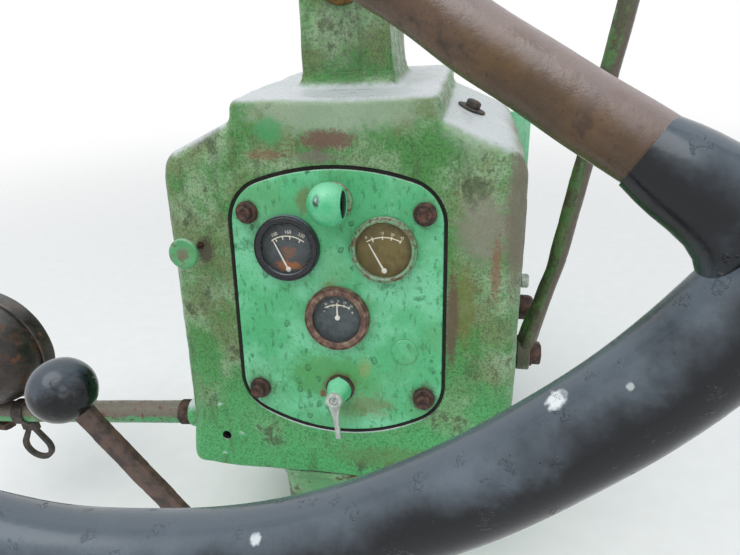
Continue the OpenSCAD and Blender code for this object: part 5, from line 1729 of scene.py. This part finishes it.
@dataclass
class HandLever:
    """Hand lever on the housing's right side: flared eye, square bar set edge on, round grip, bolt."""

    place: Triple = (173.68, LEVER_Y, LEVER_Z)
    lean_low: float = 14.0
    lean: float = 8.5
    low_len: float = 106.0
    up_len: float = 305.0
    bar: float = 13.0
    grip_len: float = 66.0
    cap_y: float = 118.0

    def frames(self) -> tuple[Frame, Frame]:
        """Frames of the lever's lower and upper stretch, out along the bar."""
        low = UPRIGHT.moved(*self.place).tipped(self.lean_low)
        return low, Frame(tuple(low.world([0, 0, self.low_len])), X, Y, Z).tipped(self.lean)

    def around(self, outline: Array) -> Array:
        """An outline drawn again with 64 points at even angles.

        Args:
            outline: points (n, 2) round the middle.

        Returns:
            Points (64, 2).
        """
        a = np.linspace(0, 2 * np.pi, 64, endpoint=False)
        ang = np.arctan2(outline[:, 1], outline[:, 0])
        order, want = np.argsort(ang), np.mod(a + np.pi, 2 * np.pi) - np.pi
        return polar(np.interp(want, ang[order], np.hypot(*outline[order].T), period=2 * np.pi), a)

    def bar_shell(self) -> Shell:
        """Bar: a rounded square turned by 45 degrees, blended at its low end into a flat section.

        Returns:
            The shell.
        """
        square = self.around(box_outline(self.bar, self.bar, 2.0,
                                         6) @ np.array([[1, 1], [-1, 1]]) / math.sqrt(2))
        flat = self.around(box_outline(13.4, 25.0, 4.5, 6))
        (low, high), rows = self.frames(), []
        for h in np.linspace(6, self.low_len - 4, 34):
            k = smoothstep((66.0 - h) / 56.0)
            rows.append(low.world(np.column_stack([square * (1 - k) + flat * k, np.full(64, h)])))
        for h in np.linspace(4, self.up_len - self.grip_len + 3, 52):
            rows.append(high.world(np.column_stack([square, np.full(64, h)])))
        return grid_shell(np.stack(rows)).shaken(34.0, 0.32, 131).shaken(9.0, 0.10, 135)

    def grip(self) -> Shell:
        """Grip: shallow beads of 7 mm along the bar, and a round end.

        Returns:
            The shell.
        """
        g0, g1 = self.up_len - self.grip_len, self.up_len
        along = np.linspace(g0 + 3, g1 - 14, 60)
        beads = np.column_stack([9.9 + 0.5 * np.abs(np.sin((along - g0) * math.pi / 7.0)), along])
        return turned(self.frames()[1], np.vstack([
            [[0.3, g0 + 0.1], [8.2, g0 + 0.1], [9.6, g0 + 1.2]], beads, arc(0, g1 - 10.4, 10.3, 20, 89, 12)]),
                      56)

    def build(self) -> None:
        """Make the lever, its bolt, and the cap and nut on the housing's side."""
        side = Frame(self.place, Y, Z, X)
        eye = turned(side, [(7.06, -7, 0), (16.8, -7, 0.6), (18, -5.6, 1), (18, 5.6, 1), (16.8, 7, 0.6),
                            (7.06, 7, 0)],
                     72, True, 5)
        make("hand_lever_bar", LEVER, [self.bar_shell(), eye.shaken(14.0, 0.12, 132)], "hand_lever",
             body=Body.HAND)
        make("hand_lever_grip", RUBBER, self.grip(), body=Body.HAND)
        bolt = side.moved(z=7.5)
        pin = turned(bolt, [(0.3, -35), (6.95, -35), (6.95, 1), (0.3, 1)], 40)
        ring = washer(bolt, 6, 14, 0.1, 2.5, (0.4, 0.8, 0.6, 0.4)).shaken(9.0, 0.12, 133)
        make("hand_lever_bolt", RUST, [pin, ring, hex_head(bolt.moved(turn=12.0), 22.0, 9.0, 2.5)],
             "lever_bolt")
        dome = np.vstack([[[0.3, 0.0], [13.6, 0.0], [14, 0.6], [14, 20.6]], arc(6.2, 20.8, 7.8, 0, 70, 9)[1:],
                          [[5.0, 28.6], [2.5, 28.8], [0.3, 28.9]]])
        cap = turned(right_side(self.cap_y, 245.0), dome, 72).shaken(12.0, 0.2, 136)
        make("side_cap_dome", RUST, cap, "side_cap")
        nut = right_side(self.cap_y, 278.0)
        stud = turned(nut, [(0.3, 0.2), (4.5, 0.2), (4.5, 13.0), (0.3, 13.0)], 24)
        make("side_nut_hex", GREY_STEEL, [washer(nut, 4, 10, 0.0, 2.0, (0.3, 0.7, 0.5, 0.3), 48), stud,
                                          hex_head(nut.moved(turn=8.0), 15.0, 8.0, 12.5)], "side_nut")


@dataclass
class ShiftLever:
    """Shift lever: flat pitted bar on a pin between two ears, with a black ball knob."""

    place: Triple = (-20.0, -170.0, 60.0)
    lean: float = 30.7
    length: float = 300.0
    w: float = 18.0
    t: float = 7.0
    knob_r: float = 24.0

    def build(self, frame: dict[str, Any]) -> None:
        """Make bar, knob, and the softened bracket and pin.
        """
        f = UPRIGHT.moved(*self.place).tipped(-self.lean)
        bar = stacked(f, [box_outline(self.w, self.t, 1.1)] * 76, np.linspace(9, self.length - 21, 76))
        eye = [(6.06, -3.5, 0), (12.4, -3.5, 0.4), (13, -2.8, 0.4), (13, 2.8, 0.4), (12.4, 3.5, 0.4),
               (6.06, 3.5, 0)]
        ring = turned(Frame(self.place, X, Z, BACK), eye, 56, True, 4)
        make("shift_lever_bar", BROWN_BAR, [bar.shaken(30.0, 0.3, 141).shaken(8.0, 0.16, 142), ring],
             "shift_lever", body=Body.SHIFT)
        ball = np.vstack([[[0.3, -20.8], [10.6, -20.8]], arc(0, 0, self.knob_r, -61, 89.3, 44)])
        knob = turned(f, ball + [0, self.length], 96).shaken(20.0, 0.1, 143)
        make("shift_knob_ball", KNOB, knob, "shift_knob", body=Body.SHIFT)
        softened(frame, "shift_bracket", STEM_PAINT, 1.2)
        softened(frame, "shift_pin", RUST, 0.6)


@dataclass
class StemAndCowl:
    """Hollow stem with its foot and top flange, the gasket, and the plate on the housing's forward side."""

    top: float = 138.0

    def stem(self) -> Shell:
        """Stem: rounded rectangles stacked from the foot to the flange, then back down inside.

        Returns:
            The shell.
        """
        top = self.top
        rows = [(182, 154, 13, 0.0), (184, 156, 14, 1.0), (184, 156, 14, 11.5), (183, 155, 13.5, 13.4),
                (181, 153, 13, 14.0), (168, 136, 14, 14.0), (150, 118, 14, 14.0)]
        rows += [(132 + 16 * (1 - math.sin(a)), 100 + 16 * (1 - math.sin(a)), 14, 14 + 8 * (1 - math.cos(a)))
                 for a in np.radians(np.linspace(0, 90, 7))]
        rows += [(132, 100, 14, z) for z in np.linspace(26, top - 13, 22)]
        rows += [(132.6, 100.6, 14, top - 10), (134.8, 102.8, 14, top - 8.2), (136, 104, 14, top - 7),
                 (136, 104, 14, top - 0.7), (135, 103, 14, top), (116, 84, 8, top), (114, 82, 7, top - 1),
                 *((114, 82, 7, z) for z in (96.0, 48.0, 1.0)), (116, 84, 8, 0.0)]
        shell = stacked(UPRIGHT, [box_outline(w, d, r, 8) for w, d, r, _ in rows], [z for *_, z in rows],
                        True)
        z = shell.points[:, 2]
        return shell.shaken(50.0, 0.5, 151, smoothstep((top - 2 - z) / 6) * smoothstep((z - 1) / 8))

    def gasket(self) -> Shell:
        """Gasket: a sheet with the stem's passage through it, its outer edge bulging a little.

        Returns:
            The shell.
        """
        rows = ((134.2, 102.2, 0.05), (135.2, 103.2, 0.5), (135.2, 103.2, 1.5), (134.2, 102.2, 1.95),
                (114, 82, 1.95), (114, 82, 0.05))
        outlines = [box_outline(w, d, 14, 8) for w, d, _ in rows]
        return stacked(UPRIGHT, outlines, [self.top + z for *_, z in rows], True).shaken(12.0, 0.25, 152)

    def build(self, frame: dict[str, Any]) -> None:
        """Make stem, gasket and plate with its bolts.
        """
        stem = make("stem_casting", STEM_PAINT, self.stem(), "stem")
        drilled(stem, STEM_PAINT, *(turned(UPRIGHT.moved(x, y), [(6.75, -4), (6.75, 18)], 40)
                                    for x, y in ((-76, -60), (76, -60), (-76, 60), (76, 60))))
        make("stem_gasket_sheet", GASKET, self.gasket(), "stem_gasket")
        softened(frame, "cowl_plate", SHEET, 0.8)
        bolts = []
        for x, z in ((-155, 166), (155, 166), (-157, 292), (157, 292), (-159, 416), (159, 416)):
            at = Frame((x, 238.0, z), LEFT, Z, Y).moved(turn=7.0 * (x % 5) + z % 9)
            bolts += [turned(at, [(0.3, -0.4), (8, -0.4), (8, 0.9), (7.4, 1.3), (0.3, 1.3)], 32),
                      hex_head(at, 10.0, 4.6, 1.2)]
        make("cowl_plate_bolts", RUST, bolts)


GAUGES = (
    Gauge("water_gauge", BLACK_ENAMEL, SLATE_DIAL, (-43.6, 54.0), 30.0, 23.0, 20.0, 30.0, 0.0, 26.0,
          (-14.5, 15.5, 10.4, 26.0),
          ((-10.2, 6.6, 3.0, 0.9), (-4.0, 8.6, 3.0, 0.9), (2.7, 8.8, 3.0, 0.9), (11.5, 6.0, 3.0, 0.9)),
          (("100", -11.5, 11.6, 4.2, 24.0), ("160", 1.0, 14.0, 4.2, 0.0), ("220", 13.4, 11.2, 4.2, -24.0))),
    Gauge("oil_gauge", RUSTY_GREEN, OLIVE_DIAL, (43.6, 54.0), 29.25, 24.5, 19.0, 27.5, 0.0, 29.0,
          (-15.2, 15.0, 10.8, 30.0),
          ((-10.0, 8.6, 4.5, 1.0), (-1.3, 10.4, 3.4, 0.9), (6.5, 9.8, 3.4, 0.9), (14.4, 7.2, 3.4, 0.9)),
          (("0", -15.6, 10.4, 3.4, 24.0), ("15", -1.5, 14.4, 3.4, 0.0), ("30", 7.5, 13.2, 3.4, -12.0),
           ("45", 15.8, 10.4, 3.4, -24.0))),
    Gauge("ammeter", RUSTY_BEZEL, AMMETER_DIAL, (0.0, -10.5), 30.0, 22.25, 0.0, 14.4, 2.0, 0.0,
          (-11.5, 11.8, 12.1, 24.0),
          ((-8.8, 9.8, 2.6, 0.8), (-4.0, 11.4, 2.6, 0.8), (1.2, 12.0, 2.6, 0.8), (6.4, 11.4, 2.6, 0.8),
           (11.0, 9.6, 2.6, 0.8)),
          (("20", -10.6, 12.6, 3.0, 20.0), ("10", -4.8, 15.0, 3.0, 8.0), ("0", 1.2, 15.8, 3.0, 0.0),
           ("10", 7.1, 14.6, 3.0, -10.0), ("20", 13.0, 11.6, 3.0, -22.0), ("-", -12.0, 6.2, 5.0, 0.0),
           ("+", 14.0, 5.0, 5.0, 0.0))),
)


def light_and_floor() -> None:
    """Pale floor, white background for the camera, soft sky, a broad lamp high on the left, a low fill."""
    scene = bpy.context.scene
    scene.view_settings.view_transform = "Standard"
    scene.world = bpy.data.worlds.new("soft_studio")
    g = Graph(scene.world)
    rays = g.add("LightPath").outputs
    through = g.maths("MAXIMUM", rays["Is Camera Ray"], rays["Is Transmission Ray"])
    seen = g.maths("MAXIMUM", through, rays["Is Glossy Ray"])
    sky = g.add("Background", {"Color": "#E4EAF0", "Strength": 0.72})
    white = g.add("Background", {"Color": (1.0, 1.0, 1.0, 1.0), "Strength": 1.0})
    both = g.add("MixShader", {0: seen, 1: sky.outputs[0], 2: white.outputs[0]})
    g.add("OutputWorld", {"Surface": both.outputs[0]})
    aim = Vector((0.0, 0.0, 0.4))
    for name, place, size, power in (("broad_overhead", (-0.5, -0.9, 2.6), 2.4, 46.0),
                                     ("low_fill", (1.4, -1.8, 1.2), 1.6, 9.0)):
        light = bpy.data.lights.new(name, "AREA")
        light.shape, light.size, light.energy = "DISK", size, power
        lamp = bpy.data.objects.new(name, light)
        scene.collection.objects.link(lamp)
        lamp.location = place
        lamp.rotation_euler = (aim - Vector(place)).to_track_quat("-Z", "Y").to_euler()
    floor = bpy.data.meshes.new("studio_floor")
    floor.from_pydata([(-6, -6, 0), (6, -6, 0), (6, 6, 0), (-6, 6, 0)], [], [(0, 1, 2, 3)])
    obj = bpy.data.objects.new("studio_floor", floor)
    scene.collection.objects.link(obj)
    g = Graph(bpy.data.materials.new("pale_studio_floor"))
    tone = g.over("#E9E9E7", "#F1F1EF", g.grain(25.0, 3.0, 0.5))
    shader = g.add("BsdfPrincipled", {"Roughness": 0.9, "Base Color": tone})
    far = g.add("VectorMath", {0: g.coords}, operation="LENGTH")
    clear, share = g.add("BsdfTransparent"), g.ramp(far.outputs["Value"], 0.5, 3.0)
    fading = g.add("MixShader", {0: share, 1: shader.outputs[0], 2: clear.outputs[0]})
    g.add("OutputMaterial", {"Surface": fading.outputs[0]})
    floor.materials.append(g.owner)
    obj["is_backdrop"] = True


def camera() -> None:
    """Camera of the photograph: placed and turned in the panel's frame, without shift or blur."""
    place, pan, tilt, roll = (117.7, -459.7, 560.2), 10.491, -15.963, 1.125
    focal_pixels, picture_pixels, sensor = 563.388, 740.0, 36.0
    c, s = cos_sin(LEAN)
    axes = Matrix(((1, 0, 0), (0, c, s), (0, -s, c)))
    for angle, axis in ((pan, "Z"), (tilt, "X"), (roll, "Y")):
        axes = axes @ Matrix.Rotation(math.radians(angle), 3, axis)
    right, ahead, up = axes.col[0], axes.col[1], axes.col[2]
    pose = Matrix((right, up, -ahead)).transposed().to_4x4()
    pose.translation = Vector(place) * MM
    data = bpy.data.cameras.new("photo_view")
    data.sensor_width = sensor
    data.lens = focal_pixels * sensor / picture_pixels
    data.clip_start = 0.01
    obj = bpy.data.objects.new("photo_view", data)
    bpy.context.scene.collection.objects.link(obj)
    obj.matrix_world = pose
    bpy.context.scene.camera = obj


def corners() -> list[list[float]]:
    """Lowest and highest corner of what is shown, as plain lists."""
    return [[float(v) for v in corner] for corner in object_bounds()]


def main() -> None:
    """Build the pedestal in order and report each sub-assembly."""
    logging.basicConfig(level=logging.INFO, format="%(message)s")
    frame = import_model()
    camera()
    light_and_floor()
    Housing().build()
    LOG.info("housing, neck and bosses")
    InstrumentPanel().build()
    LOG.info("panel, screws and plug")
    for gauge in GAUGES:
        gauge.build()
        LOG.info("%s", gauge.name)
    DashLamp().build()
    LightSwitch().build()
    SmallParts().build()
    LOG.info("dash lamp, switch, pull knob, shoulder bolt")
    SteeringWheel().build()
    LOG.info("steering wheel and shaft")
    LampArm().build(frame)
    LOG.info("lamp arm")
    HandLever().build()
    LOG.info("hand lever and side fittings")
    ShiftLever().build(frame)
    LOG.info("shift lever")
    StemAndCowl().build(frame)
    LOG.info("stem and plate")


if __name__ == "__main__":
    main()
